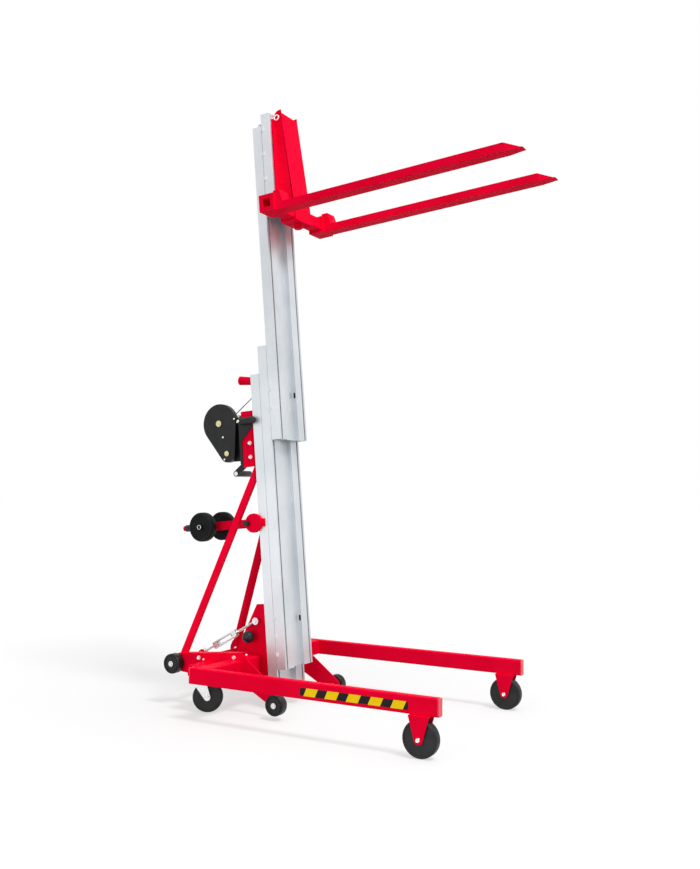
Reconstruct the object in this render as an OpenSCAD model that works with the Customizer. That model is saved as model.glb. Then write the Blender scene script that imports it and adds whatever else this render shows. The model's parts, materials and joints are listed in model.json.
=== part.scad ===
// Material hoist: a wheeled leg frame with a telescopic mast, a hand winch and two lifting forks.
// X runs forward along the forks, Y to the left, Z up; the origin is on the floor under the middle.
// Sizes are in millimetres. The mast frame leans back; its own axes are d (forward of the mast's
// back face), y and h (up along the mast from the floor).

/* [Base frame] */
// Overall width over the two legs
base_w = 828; // [800:2:900]
// Length of each leg tube
leg_len = 995; // [960:5:1040]
// Height of the leg tube
leg_h = 60; // [56:1:62]
// Width of the leg tube
leg_t = 30; // [26:1:34]
// Wall of the red square tubes
tube_wall = 3; // [2:0.5:4]
// Outer corner radius of the leg tubes
tube_corner = 5; // [4:0.5:6]
// Floor to the underside of the legs
leg_clear = 139; // [137:1:142]
// Rear ends of the legs behind the origin
leg_rear_back = 419; // [413:1:425]
// Depth of the cross-member between the legs
cross_d = 60; // [56:1:62]
// Rear ends of the legs behind the cross-member
cross_inset = 20; // [15:1:25]
// Thickness of the leg end caps
cap_t = 5; // [4:0.5:8]
// Depth of the plugs of the end caps inside the tubes
cap_plug = 18; // [12:1:24]

/* [Front wheels] */
// Diameter of the front wheels
front_wheel_d = 125; // [122:1:126]
// Width of the front wheels
front_wheel_w = 34; // [30:1:38]
// Front axle behind the front ends of the legs
front_axle_inset = 63; // [55:1:75]
// Diameter of the front axles
front_axle_d = 12; // [10:1:14]
// Thickness of the fork plates beside each front wheel
fork_plate_t = 4; // [3:0.5:5]
// Free space between a wheel and its fork plate
fork_gap = 3; // [2:0.5:4]
// Length of a fork plate at its top
fork_top_len = 74; // [66:1:82]
// Diameter of the fork plate's rounded end at the axle
fork_eye_d = 32; // [28:1:36]
// Diameter of the axle bolt heads
axle_head_d = 17; // [16:1:18]
// Thickness of the axle bolt heads
axle_head_t = 6; // [5:0.5:8]

/* [Rear casters] */
// Diameter of the caster wheels
caster_wheel_d = 116; // [112:1:118]
// Width of the caster wheels
caster_wheel_w = 30; // [26:1:32]
// Caster swivel axis behind the origin
caster_back = 490; // [484:1:496]
// Caster swivel axis from the middle plane
caster_side = 263; // [258:1:270]
// Wheel axle behind the swivel axis
caster_trail = 34; // [28:1:36]
// Turn of the casters about their swivel axes
caster_turn = 29; // [0:1:45]
// Diameter of the caster wheel axles
caster_axle_d = 10; // [8:1:12]
// Thickness of the caster fork plates
caster_plate_t = 4; // [3:0.5:5]
// Diameter of the swivel head
caster_head_d = 58; // [52:1:62]
// Height of the swivel head
caster_head_h = 12; // [10:1:14]
// Diameter of the swivel pin
swivel_pin_d = 16; // [12:1:18]
// Depth of the caster bracket along the legs
caster_bracket_d = 64; // [62:1:70]
// Height of the caster bracket
caster_bracket_h = 40; // [34:1:44]

/* [Mast] */
// Lean of the mast frame backwards
mast_lean = 5.2; // [4.6:0.1:5.6]
// Mast back face at floor level, behind the origin
mast_foot_back = 268.5; // [266:0.5:271]
// Lower end of the fixed section above the floor
mast_foot_h = 46; // [40:1:52]
// Length of each mast section
section_len = 1275; // [1240:5:1300]
// Width of each mast section
section_w = 200; // [190:1:204]
// Depth of each mast section
section_d = 41; // [39:0.5:43]
// Free space between neighbouring sections
section_gap = 1; // [0.6:0.1:1.4]
// Width of the recess in the middle of a section
recess_w = 76; // [68:1:80]
// Depth of the recess in a section's front
recess_d = 17; // [15:0.5:18]
// Thickness of a section's web
web_t = 5; // [4:0.5:6]
// Middle of a guide slot inside a section's side
slot_inset = 15; // [15:0.5:18]
// Width of a guide slot's mouth
slot_mouth = 8; // [7:0.5:10]
// Width of a guide slot behind its lips
slot_w = 22; // [18:1:22]
// Depth of a guide slot behind its lips
slot_d = 12; // [10:1:13]
// Thickness of a guide slot's lips
slot_lip = 5; // [4:0.5:6]
// Wall of the closed chambers of a section
chamber_wall = 4; // [3:0.5:5]
// Height of the oblong holes in the recess walls
oblong_h = 24; // [18:1:28]
// Width of the oblong holes in the recess walls
oblong_w = 9; // [7:1:11]
// Oblong holes above a section's lower end
oblong_rise = 184; // [150:2:220]

/* [Raised position] */
// Second section above the fixed one
stage_2_rise = 109; // [60:1:160]
// Length of the third section that overlaps the second one
stage_3_overlap = 380; // [375:5:435]
// Length of the third section above the carriage rail's lower end
rail_overlap = 363; // [355:1:395]

/* [Slide shoes] */
// Length of a slide shoe
shoe_len = 56; // [40:1:60]
// Clearance of the shoes in their slots
shoe_clear = 0.4; // [0.3:0.05:0.6]
// First shoe above a section's lower end
shoe_first = 58; // [50:1:70]
// Distance between the shoes of a section
shoe_step = 71; // [64:1:76]
// First shoe above the carriage rail's lower end
rail_shoe_first = 143; // [120:1:150]
// Distance between the shoes of the carriage rail
rail_shoe_step = 102; // [90:1:105]
// Height of the side clips
clip_h = 15; // [12:1:20]
// Width of the side clips
clip_w = 11; // [8:1:14]
// Thickness of the side clips
clip_t = 2.5; // [2:0.5:3]

/* [Carriage] */
// Length of the carriage rail
rail_len = 411; // [400:1:420]
// Width of the carriage plate
plate_w = 124; // [118:1:130]
// Sheet thickness of the carriage plate
plate_t = 4; // [3:0.5:5]
// Depth of the carriage plate at its top
plate_top_d = 34; // [30:1:40]
// Depth of the carriage plate at its lower end
plate_low_d = 74; // [72:1:76]
// Lower end of the carriage plate below the rail's lower end
plate_drop = 40; // [36:1:44]
// Front of the carriage plate above the rail's upper end
plate_over = 3; // [2:1:6]
// Ears of the side flanges above the plate's front
plate_ear = 13; // [8:1:18]
// Radius of the carriage plate's rear top corners
plate_round = 26; // [18:1:30]
// Width of the carriage plate's back flanges
plate_flange_w = 24; // [20:1:26]
// Side of the square crossbar
bar_side = 50; // [48:1:52]
// Wall of the crossbar
bar_wall = 8; // [5:0.5:9]
// Length of the crossbar
bar_len = 456; // [450:2:470]
// Crossbar's middle ahead of the rail's front
bar_ahead = 43; // [42:0.5:44]
// Crossbar's middle below the rail's lower end
bar_below = 9; // [8:0.5:10]
// Clearance of the crossbar in its windows
bar_clear = 0.4; // [0.3:0.1:0.6]
// Diameter of the clamp knob under the crossbar
clamp_knob_d = 30; // [26:1:34]
// Height of the clamp knob
clamp_knob_h = 20; // [16:1:24]
// Diameter of the clamp screw
clamp_screw_d = 10; // [8:1:12]
// Diameter of the ring at the cable's end
ring_d = 20; // [16:1:24]
// Thickness of the ring's wire
ring_wire = 5; // [4:0.5:6]
// Ring from the middle plane
ring_side = 76; // [70:1:84]

/* [Forks] */
// Width of a fork tube
fork_w = 60; // [56:1:64]
// Height of a fork tube
fork_h = 30; // [26:1:34]
// Reach of a fork ahead of its sleeve
fork_reach = 980; // [900:5:1000]
// Length of the slope at a fork's tip
tip_len = 56; // [48:1:64]
// Narrowing of a fork's tip on each side
tip_narrow = 12; // [8:1:16]
// Thickness of a fork tip's nose plate
nose_t = 5; // [4:0.5:6]
// Nose plate beyond a fork's tip
nose_lip = 10; // [6:1:14]
// Outer side of a fork's sleeve
sleeve_side = 66; // [64:1:70]
// Length of a fork's sleeve
sleeve_len = 88; // [80:1:92]
// Thickness of the upright heel ahead of a sleeve
heel_t = 20; // [16:1:24]
// Heel above the sleeve's top
heel_over = 12; // [8:1:16]
// Clearance of the sleeves on the crossbar
sleeve_clear = 0.4; // [0.3:0.05:0.6]

/* [Side frame] */
// Distance between the middles of the two side plates
side_spread = 400; // [396:1:404]
// Thickness of the side plates
side_t = 6; // [5:0.5:7]
// Top edge of the side plates above the leg tubes, along the mast
side_over = 35; // [31:1:39]
// Width of the side plates' top flange
side_flange_w = 32; // [28:1:36]
// Rear roller axle behind the mast's back
rear_roller_back = 363; // [355:1:370]
// Rear roller axle below the side plates' top edge
rear_axle_under = 37; // [36:1:40]
// Radius of the side plates' rear ends
rear_end_r = 31; // [28:1:34]
// Front roller axle ahead of the mast's back
mid_roller_ahead = 112; // [106:1:116]
// Front roller axle above the floor, along the mast
mid_roller_h = 46; // [44:1:50]
// Diameter of the rollers
roller_d = 78; // [72:1:80]
// Width of the rollers
roller_w = 36; // [30:1:40]
// Free space between a roller and its side plate
roller_gap = 4; // [3:0.5:6]
// Diameter of the roller bolts
roller_bolt_d = 12; // [10:1:14]
// Outer diameter of the rear tube
rear_tube_d = 42; // [38:1:44]
// Rear tube behind the mast's back
rear_tube_back = 330; // [327:1:333]
// Rear tube below the side plates' top edge
rear_tube_under = 51; // [50:1:53]
// Side of the square struts
strut_side = 25; // [22:1:28]
// Wall of the struts
strut_wall = 2.5; // [2:0.5:3]
// Strut foot behind the mast's back
strut_foot_back = 340; // [336:1:342]
// Distance between the middles of the strut feet
strut_foot_spread = 361; // [357:1:365]
// Distance between the middles of the strut heads
strut_head_spread = 164; // [156:1:168]
// Strut heads below the winch bracket
strut_under = 22; // [20:1:28]
// Distance between the middles of the two foot gussets
gusset_spread = 120; // [110:1:130]
// Thickness of the foot gussets
gusset_t = 6; // [5:0.5:8]
// Top of the foot gussets above the floor, along the mast
gusset_top_h = 406; // [395:1:415]
// Lower end of the foot gussets above the floor, along the mast
gusset_low_h = 62; // [56:1:68]
// Reach of the foot gussets behind the mast
gusset_reach = 172; // [165:1:180]
// Diameter of the lock pin
lock_pin_d = 12; // [10:1:14]
// Diameter of the lock pin's ball
lock_ball_d = 48; // [42:1:50]
// Lock pin behind the mast's back
lock_back = 85; // [80:1:90]
// Lock pin above the floor, along the mast
lock_h = 282; // [275:1:290]

/* [Turnbuckle] */
// Turnbuckle from the middle plane
buckle_side = 80; // [78:1:84]
// Rear eye behind the mast's back
buckle_rear_back = 327; // [324:1:330]
// Front eye behind the mast's back
buckle_front_back = 58; // [54:1:62]
// Front eye above the floor, along the mast
buckle_front_h = 341; // [338:1:346]
// Length of the turnbuckle's body
buckle_len = 124; // [110:2:130]
// Width of the turnbuckle's body
buckle_w = 30; // [26:1:34]
// Diameter of the turnbuckle's rods
buckle_rod_d = 10; // [8:1:12]
// Outer diameter of the eyes
buckle_eye_d = 28; // [26:1:32]
// Diameter of the eye pins
buckle_pin_d = 12; // [10:1:13]

/* [Winch] */
// Drum axle behind the mast's back
drum_back = 175; // [172:1:178]
// Drum axle below the fixed section's top
drum_below = 178; // [172:1:184]
// Crank axle behind the mast's back
crank_back = 143; // [141:1:145]
// Crank axle below the drum axle
crank_drop = 126; // [124:0.5:128]
// Free space between the drum's gear and the cover
cover_gap = 8; // [7:1:10]
// Radius of the cover round the crank axle
cover_low_r = 36; // [34:1:40]
// Depth of the cover
cover_depth = 22; // [20:1:26]
// Wall of the cover
cover_wall = 3; // [2:0.5:3.5]
// Width of the winch frame over its side plates
winch_w = 132; // [128:1:134]
// Sheet thickness of the winch frame
winch_t = 4; // [3:0.5:5]
// Diameter of the drum's core
drum_core_d = 60; // [54:1:64]
// Diameter of the drum's flanges
drum_flange_d = 92; // [88:1:96]
// Diameter of the drum's shaft
drum_shaft_d = 20; // [16:1:24]
// Diameter of the crank's shaft
crank_shaft_d = 16; // [14:1:18]
// Radius of the wheel gear on the drum
drum_gear_r = 70; // [68:1:72]
// Radius of the gear on the crank's shaft
pinion_r = 15.7; // [14:0.1:17]
// Diameter of the middle gear's pin
idler_pin_d = 10; // [8:1:12]
// Thickness of the gears
gear_t = 9; // [7:1:10]
// Free space between the gear rims
gear_gap = 0.4; // [0.3:0.1:0.6]
// Diameter of the steel cable
cable_d = 5; // [4:0.5:5]
// Distance between neighbouring loops on the drum
loop_pitch = 5.8; // [5.6:0.1:6.4]
// Cable's upper layer from the middle plane where it leaves the drum
cable_leave_side = 30; // [0:1:40]
// Number of loops on the drum
loop_count = 17; // [8:1:17]
// Width of the winch bracket over its side plates
bracket_w = 192; // [188:1:194]
// Sheet thickness of the winch bracket
bracket_t = 6; // [5:0.5:7]
// Depth of the winch bracket behind the mast
bracket_d = 60; // [58:1:62]
// Thickness of the bars between the winch bracket and the mast
strip_t = 10; // [8:1:11]
// Width of the bars between the winch bracket and the mast
strip_w = 16; // [12:1:18]
// Lower end of the winch bracket below the drum axle
bracket_under = 190; // [186:1:193]
// Upper end of the winch bracket above the drum axle
bracket_over = 35; // [30:1:45]
// Reach of the crank from its axle to its grip
crank_reach = 122; // [110:1:124]
// Angle of the crank arm at rest, from straight ahead upwards
crank_angle = 215; // [0:1:359]
// Width of the crank arm
crank_arm_w = 26; // [22:1:30]
// Thickness of the crank arm
crank_arm_t = 8; // [6:1:10]
// Diameter of the crank's grip
grip_d = 26; // [22:1:30]
// Length of the crank's grip
grip_len = 96; // [85:1:110]
// Diameter of the grip's pin
grip_pin_d = 10; // [8:1:12]
// Diameter of the winch lever
lever_d = 28; // [24:1:29]
// Length of the winch lever ahead of its pivot
lever_len = 76; // [66:1:80]
// Pivot of the lever behind the mast's back
lever_back = 52; // [50:1:56]
// Pivot of the lever below the winch bracket's upper end
lever_under = 41; // [37:1:46]

/* [Cable sheave] */
// Diameter of the sheave in the mast's top
sheave_d = 42; // [38:1:43]
// Width of the sheave
sheave_w = 12; // [10:1:14]
// Diameter of the sheave's pin
sheave_pin_d = 10; // [8:1:12]
// Sheave's axis below the fixed section's top
sheave_below = 34; // [32:1:40]

/* [Transport arm] */
// Pivot of the arm behind the mast's back
arm_pivot_back = 20; // [19:1:22]
// Pivot of the arm below the strut heads
arm_under = 203; // [196:1:211]
// Diameter of the arm's pivot tube
pivot_tube_d = 32; // [28:1:36]
// Diameter of the arm's pivot pin
pivot_pin_d = 14; // [12:1:16]
// Height of the arm tube
arm_tube_h = 36; // [32:1:40]
// Width of the arm tube
arm_tube_w = 40; // [36:1:44]
// Axle of the transport wheels behind the mast's back
arm_axle_back = 302; // [295:1:310]
// Diameter of the transport wheels
arm_wheel_d = 120; // [112:1:124]
// Width of the transport wheels
arm_wheel_w = 36; // [30:1:40]
// Distance between the middles of the transport wheels
arm_wheel_spread = 138; // [132:1:140]
// Diameter of the transport wheel axle
arm_axle_d = 16; // [14:1:18]
// Rear end of the arm's handle behind the mast's back
handle_back = 452; // [446:1:458]
// Diameter of the arm's handle tube
handle_d = 22; // [20:1:24]
// Diameter of the handle's grip
handle_grip_d = 29; // [27:1:32]
// Length of the handle's grip
handle_grip_len = 62; // [54:1:70]
// Diameter of the index disc
disc_d = 76; // [70:1:80]
// Thickness of the index disc
disc_t = 6; // [5:0.5:7]
// Diameter of the index plunger
plunger_d = 10; // [8:1:12]
// Diameter of the plunger's knob
plunger_knob_d = 22; // [18:1:24]
// Plunger from the pivot
plunger_offset = 24; // [22:1:26]

/* [Rest stud] */
// Reach of the stud behind the mast
stud_reach = 78; // [70:1:86]
// Diameter of the stud at the mast
stud_d = 28; // [24:1:32]
// Diameter of the stud at its rear end
stud_end_d = 36; // [32:1:40]
// Stud from the middle plane
stud_side = 60; // [50:1:70]
// Stud below the fixed section's top
stud_below = 22; // [20:1:26]
// Upward tilt of the stud
stud_tilt = 9; // [4:1:12]

/* [Fits] */
// Radial clearance of wheels and levers on their pins
run_fit = 0.06; // [0.03:0.01:0.09]
// Radial clearance of fixed bolts in their holes
bolt_fit = 0.15; // [0.1:0.05:0.2]
// Free space between parts that pass each other
pass_gap = 0.5; // [0.4:0.1:0.8]
// Free space between fitted parts
seat_gap = 0.2; // [0.1:0.05:0.3]
// Diameter of the frame bolts
bolt_d = 8; // [8:1:10]
// Diameter of the frame bolt heads
bolt_head_d = 15; // [14:1:16]
// Thickness of the frame bolt heads
bolt_head_t = 6; // [5:0.5:7]
// Frame bolts below the side plates' top edge
side_bolt_under = 18; // [16:1:18]
// Overrun of all cuts
cut = 1; // [0.5:0.5:2]

/* [Hidden] */
$fn = 48;

red = [0.86, 0.02, 0.10];
silver = [0.80, 0.82, 0.84];
zinc = [0.74, 0.75, 0.77];
black = [0.07, 0.07, 0.08];
nylon = [0.80, 0.81, 0.82];

// Base frame
leg_rear_x = -leg_rear_back;
leg_front_x = leg_len - leg_rear_back;
leg_out_y = base_w / 2;
leg_in_y = leg_out_y - leg_t;
leg_mid_y = leg_out_y - leg_t / 2;
leg_top = leg_clear + leg_h;
side_top_h = leg_top + side_over;
rear_roller_h = side_top_h - rear_axle_under;
rear_tube_h = side_top_h - rear_tube_under;
buckle_rear_h = rear_tube_h + rear_tube_d / 2 + buckle_eye_d / 2 + pass_gap;
cross_rear_x = leg_rear_x + cross_inset;
cross_front_x = cross_rear_x + cross_d;

// Front wheels
front_axle_x = leg_front_x - front_axle_inset;
front_axle_z = front_wheel_d / 2;
fork_in = front_wheel_w / 2 + fork_gap;
fork_out = fork_in + fork_plate_t;
fork_top_z = leg_clear - fork_plate_t;

// Rear casters
caster_axle_z = caster_wheel_d / 2;
caster_in = caster_wheel_w / 2 + fork_gap;
caster_out = caster_in + caster_plate_t;
caster_head_z = leg_clear - caster_head_h;
caster_bracket_z = leg_clear + pass_gap;
side_out = side_spread / 2 + side_t / 2;
side_in = side_spread / 2 - side_t / 2;
caster_bracket_y = caster_side + caster_head_d / 2 + caster_plate_t;

// Mast sections, counted forward
pitch = section_d + section_gap;
mast_top_h = mast_foot_h + section_len;
stage_2_h = mast_foot_h + stage_2_rise;
stage_3_h = stage_2_h + section_len - stage_3_overlap;
rail_h = stage_3_h + section_len - rail_overlap;
rail_top_h = rail_h + rail_len;
rail_back_d = pitch + pitch + pitch;
rail_front_d = rail_back_d + section_d;
web_front = section_d - recess_d;
web_back = web_front - web_t;
half_w = section_w / 2;
slot_y = half_w - slot_inset;
slot_floor = section_d - slot_lip - slot_d;

// Carriage and forks
bar_d = rail_front_d + bar_ahead;
bar_h = rail_h - bar_below;
bar_half = bar_side / 2;
plate_low_h = rail_h - plate_drop;
plate_top_h = rail_top_h + plate_over;
sleeve_half = sleeve_side / 2;
sleeve_out_y = bar_len / 2;
sleeve_in_y = sleeve_out_y - sleeve_len;
sleeve_mid_y = sleeve_out_y - sleeve_len / 2;
sleeve_front_d = bar_d + sleeve_half;
fork_low_h = bar_h - sleeve_half;
fork_tip_d = sleeve_front_d + fork_reach;

// Winch
winch_out = winch_w / 2;
winch_in = winch_out - winch_t;
gear_y = winch_out + pass_gap;
drum_h = mast_top_h - drum_below;
crank_h = drum_h - crank_drop;
bracket_low_h = drum_h - bracket_under;
bracket_top_h = drum_h + bracket_over;
lever_h = bracket_top_h - lever_under;
strut_head_h = bracket_low_h - strut_under;
cover_r = drum_gear_r + cover_gap + cover_wall;
drum_pos = [-drum_back, drum_h];
crank_pos = [-crank_back, crank_h];
gear_line = norm(crank_pos - drum_pos);
gear_way = (crank_pos - drum_pos) / gear_line;
idler_gear_r = (gear_line - drum_gear_r - pinion_r) / 2 - gear_gap;
idler_pos = drum_pos + gear_way * (drum_gear_r + gear_gap + idler_gear_r);
drum_half = winch_in - winch_t;
loop_r = drum_core_d / 2 + cable_d / 2 + pass_gap;
run_r = loop_r + cable_d + pass_gap + pass_gap;
loops_end_y = loop_count * loop_pitch / 2;
bracket_out = bracket_w / 2;
bracket_in = bracket_out - bracket_t;
ear_in = bracket_in - winch_t;
flank_out = bracket_out + winch_t;
winch_base_d = -bracket_d - winch_t;
crank_y = bracket_out + bolt_head_t + pass_gap;
sheave_h = mast_top_h - sheave_below;
sheave_at = web_front + recess_d / 2;
sheave_groove_r = sheave_d / 2 - cable_d / 2;
cable_drop_d = sheave_at + sheave_groove_r;

// Transport arm
arm_h = strut_head_h - arm_under;
disc_y = half_w + fork_gap + plate_t + pass_gap;
arm_half = arm_tube_w / 2;

// Places along the mast frame: d forward, y left, h up.
module mast_frame() {
  translate([-mast_foot_back, 0, 0])
    rotate([0, -mast_lean, 0])
      children();
}

module box(low, high) {
  translate(low)
    cube(high - low);
}

module both_sides() {
  children();
  mirror([0, 1, 0])
    children();
}

module rod_y(dia, low, high) {
  translate([0, high, 0])
    rotate([90, 0, 0])
      cylinder(d = dia, h = high - low);
}

module rod_x(dia, low, high) {
  translate([low, 0, 0])
    rotate([0, 90, 0])
      cylinder(d = dia, h = high - low);
}

module slab_x(low, high) {
  translate([low, 0, 0])
    rotate([90, 0, 90])
      linear_extrude(height = high - low)
        children();
}

module slab_y(low, high) {
  translate([0, high, 0])
    rotate([90, 0, 0])
      linear_extrude(height = high - low)
        children();
}

module along(from, to) {
  way = to - from;
  translate(from)
    rotate([0, acos(way.z / norm(way)), atan2(way.y, way.x)])
      children();
}

// Points along an arc, and the angle at which a line from a point touches a circle.
arc_steps = 24;
corner_steps = 6;
full_turn = 360;
function arc(at, r, from, to, steps = arc_steps) = [for (i = [0 : steps])
  let (a = from + (to - from) * i / steps) at + [cos(a), sin(a)] * r];
function touch_angle(at, r, point, turn) = let (way = point - at)
  atan2(way.y, way.x) + turn * acos(r / norm(way));

// Rectangle with rounded corners, and a tube's outline made of two.
module rounded(low, high, r) {
  polygon(concat(arc([high.x - r, high.y - r], r, 0, 90, corner_steps),
    arc([low.x + r, high.y - r], r, 90, 180, corner_steps),
    arc([low.x + r, low.y + r], r, 180, 270, corner_steps),
    arc([high.x - r, low.y + r], r, -90, 0, corner_steps)));
}

module tube_outline(low, high, r, wall) {
  difference() {
    rounded(low, high, r);
    rounded(low + [wall, wall], high - [wall, wall], r - wall);
  }
}

// Two circles joined by their outer tangents.
module tangent_outline(p1, r1, p2, r2) {
  way = p2 - p1;
  angle = atan2(way.y, way.x);
  side = acos((r1 - r2) / norm(way));
  polygon(concat(arc(p2, r2, angle - side, angle + side),
    arc(p1, r1, angle + side, angle + full_turn - side)));
}

// Hub and tread of a wheel as shares of its radius and width.
hub_share = 0.30;
rim_share = 0.86;
dish_share = 0.07;
crown_share = 0.08;
module wheel(dia, width, bore_d) {
  outer = dia / 2;
  half = width / 2;
  hub = outer * hub_share;
  rim = outer * rim_share;
  dish = half - width * dish_share;
  crown = outer * crown_share;
  rotate([90, 0, 0])
    rotate_extrude()
      polygon([[bore_d / 2, -half], [hub, -half], [hub, -dish], [rim, -dish], [rim, -half],
        [outer - crown, -half], [outer, crown - half], [outer, half - crown],
        [outer - crown, half], [rim, half], [rim, dish], [hub, dish], [hub, half],
        [bore_d / 2, half]]);
}

module pin_bolt(shaft_d, head_d, head_t, low, high) {
  rod_y(shaft_d, low, high);
  rod_y(head_d, high, high + head_t);
  rod_y(head_d, low - head_t, low);
}

// Leg frame

module left_leg() {
  color(red)
    slab_x(leg_rear_x, leg_front_x)
      tube_outline([leg_in_y, leg_clear], [leg_out_y, leg_top], tube_corner, tube_wall);
}

module right_leg() {
  mirror([0, 1, 0])
    left_leg();
}

module leg_cap() {
  wall = tube_wall + seat_gap;
  slab_x(0, cap_t)
    rounded([leg_in_y, leg_clear], [leg_out_y, leg_top], tube_corner);
  slab_x(-cap_plug, 0)
    rounded([leg_in_y + wall, leg_clear + wall], [leg_out_y - wall, leg_top - wall], tube_corner - tube_wall);
}

module leg_caps() {
  color(red)
    both_sides() {
      translate([leg_front_x, 0, 0])
        leg_cap();
      translate([leg_rear_x, 0, 0])
        mirror([1, 0, 0])
          leg_cap();
    }
}

module cross_block(grow) {
  box([cross_rear_x - grow, -leg_in_y, leg_clear - grow],
    [cross_front_x + grow, leg_in_y, leg_top + grow]);
}

module cross_member() {
  color(red)
    slab_y(-leg_in_y, leg_in_y)
      tube_outline([cross_rear_x, leg_clear], [cross_front_x, leg_top], tube_corner, tube_wall);
}

module fork_plate_outline() {
  half = fork_top_len / 2;
  eye = fork_eye_d / 2;
  translate([0, front_axle_z])
    circle(d = fork_eye_d);
  polygon([[-half, leg_clear], [half, leg_clear], [half, fork_top_z], [eye, front_axle_z],
    [-eye, front_axle_z], [-half, fork_top_z]]);
}

module wheel_fork() {
  translate([front_axle_x, leg_mid_y, 0])
    difference() {
      union() {
        slab_y(fork_in, fork_out)
          fork_plate_outline();
        slab_y(-fork_out, -fork_in)
          fork_plate_outline();
        box([-fork_top_len / 2, -fork_out, fork_top_z], [fork_top_len / 2, fork_out, leg_clear]);
      }
      translate([0, 0, front_axle_z])
        rod_y(front_axle_d + bolt_fit + bolt_fit, -fork_out - cut, fork_out + cut);
    }
}

module wheel_forks() {
  color(red)
    both_sides()
      wheel_fork();
}

module left_front_wheel() {
  color(black)
    translate([front_axle_x, leg_mid_y, front_axle_z])
      wheel(front_wheel_d, front_wheel_w, front_axle_d + run_fit + run_fit);
}

module right_front_wheel() {
  mirror([0, 1, 0])
    left_front_wheel();
}

// Rear casters

module caster_place(side) {
  translate([-caster_back, side * caster_side, 0])
    rotate([0, 0, caster_turn])
      children();
}

module caster_plate_outline() {
  tangent_outline([caster_trail, caster_axle_z], axle_head_d / 2 + caster_plate_t, [0, caster_head_z],
    caster_head_d / 2 - caster_plate_t);
}

module caster_fork(side) {
  color(zinc)
    caster_place(side)
      union() {
        translate([0, 0, caster_head_z])
          cylinder(d = caster_head_d, h = caster_head_h);
        translate([0, 0, leg_clear])
          cylinder(d = swivel_pin_d, h = pass_gap + caster_bracket_h / 2);
        intersection() {
          both_sides()
            slab_y(caster_in, caster_out)
              caster_plate_outline();
          box([-caster_head_d, -caster_head_d, 0],
            [caster_head_d + caster_trail, caster_head_d, caster_head_z + cut]);
        }
        translate([caster_trail, 0, caster_axle_z])
          pin_bolt(caster_axle_d, axle_head_d, axle_head_t, -caster_out, caster_out);
      }
}

module right_caster_fork() {
  caster_fork(-1);
}

module left_caster_fork() {
  caster_fork(1);
}

module caster_wheel(side) {
  color(black)
    caster_place(side)
      translate([caster_trail, 0, caster_axle_z])
        wheel(caster_wheel_d, caster_wheel_w, caster_axle_d + run_fit + run_fit);
}

module right_caster_wheel() {
  caster_wheel(-1);
}

module left_caster_wheel() {
  caster_wheel(1);
}

module caster_brackets() {
  half = caster_bracket_d / 2;
  top = caster_bracket_z + caster_bracket_h;
  color(red)
    both_sides()
      difference() {
        box([-caster_back - half, side_out, caster_bracket_z],
          [-caster_back + half, caster_bracket_y, top]);
        box([-caster_back - half + caster_plate_t, side_out - cut, caster_bracket_z + caster_plate_t],
          [-caster_back + half - caster_plate_t, caster_bracket_y - caster_plate_t,
            top - caster_plate_t]);
        translate([-caster_back, caster_side, caster_bracket_z - cut])
          cylinder(d = swivel_pin_d + run_fit + run_fit, h = caster_plate_t + cut + cut);
      }
}

// Side frame: bent side plates, rear tube, struts and foot gussets

rear_roller = [-rear_roller_back, rear_roller_h];
mid_roller = [mid_roller_ahead, mid_roller_h];
mid_end_r = roller_d / 2 - axle_head_d / 2;
// Corners of the side plate as shares of the rear roller's distance and of the top edge's height.
knee_share = 0.14;
heel_share = 0.985;
belly_shares = [0.36, 0.53];
throat_shares = [0.07, 0.43];
knee_back = rear_roller_back * knee_share;
heel_back = rear_roller_back * heel_share;
belly = [-rear_roller_back * belly_shares.x, side_top_h * belly_shares.y];
throat = [-rear_roller_back * throat_shares.x, side_top_h * throat_shares.y];

module side_outline() {
  knee = [-knee_back, side_top_h];
  heel = [-heel_back, side_top_h];
  rear_top = touch_angle(rear_roller, rear_end_r, heel, 1);
  rear_low = touch_angle(rear_roller, rear_end_r, belly, -1) + full_turn;
  mid_low = touch_angle(mid_roller, mid_end_r, throat, 1) - full_turn;
  mid_top = touch_angle(mid_roller, mid_end_r, knee, -1);
  polygon(concat(arc(rear_roller, rear_end_r, rear_top, rear_low), [belly, throat],
    arc(mid_roller, mid_end_r, mid_low, mid_top), [knee, heel]));
}

module left_side_plate() {
  color(red)
    difference() {
      mast_frame()
        difference() {
          union() {
            slab_y(side_in, side_out)
              side_outline();
            box([-heel_back, side_in - side_flange_w, side_top_h - side_t],
              [-knee_back, side_in + cut, side_top_h]);
          }
          translate([-rear_roller_back, 0, rear_roller_h])
            rod_y(roller_bolt_d + bolt_fit + bolt_fit, side_in - cut, side_out + cut);
          translate([mid_roller_ahead, 0, mid_roller_h])
            rod_y(roller_bolt_d + bolt_fit + bolt_fit, side_in - cut, side_out + cut);
          for (place = side_bolts)
            translate([place.x, 0, place.y])
              rod_y(bolt_d + bolt_fit + bolt_fit, side_in - cut, side_out + cut);
        }
      cross_block(seat_gap);
    }
}

module right_side_plate() {
  mirror([0, 1, 0])
    left_side_plate();
}

// Frame bolts on the side plates, behind the mast as shares of the rear roller's distance.
side_bolt_shares = [0.70, 0.23];
side_bolts = [for (s = side_bolt_shares) [-rear_roller_back * s, side_top_h - side_bolt_under]];

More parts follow.
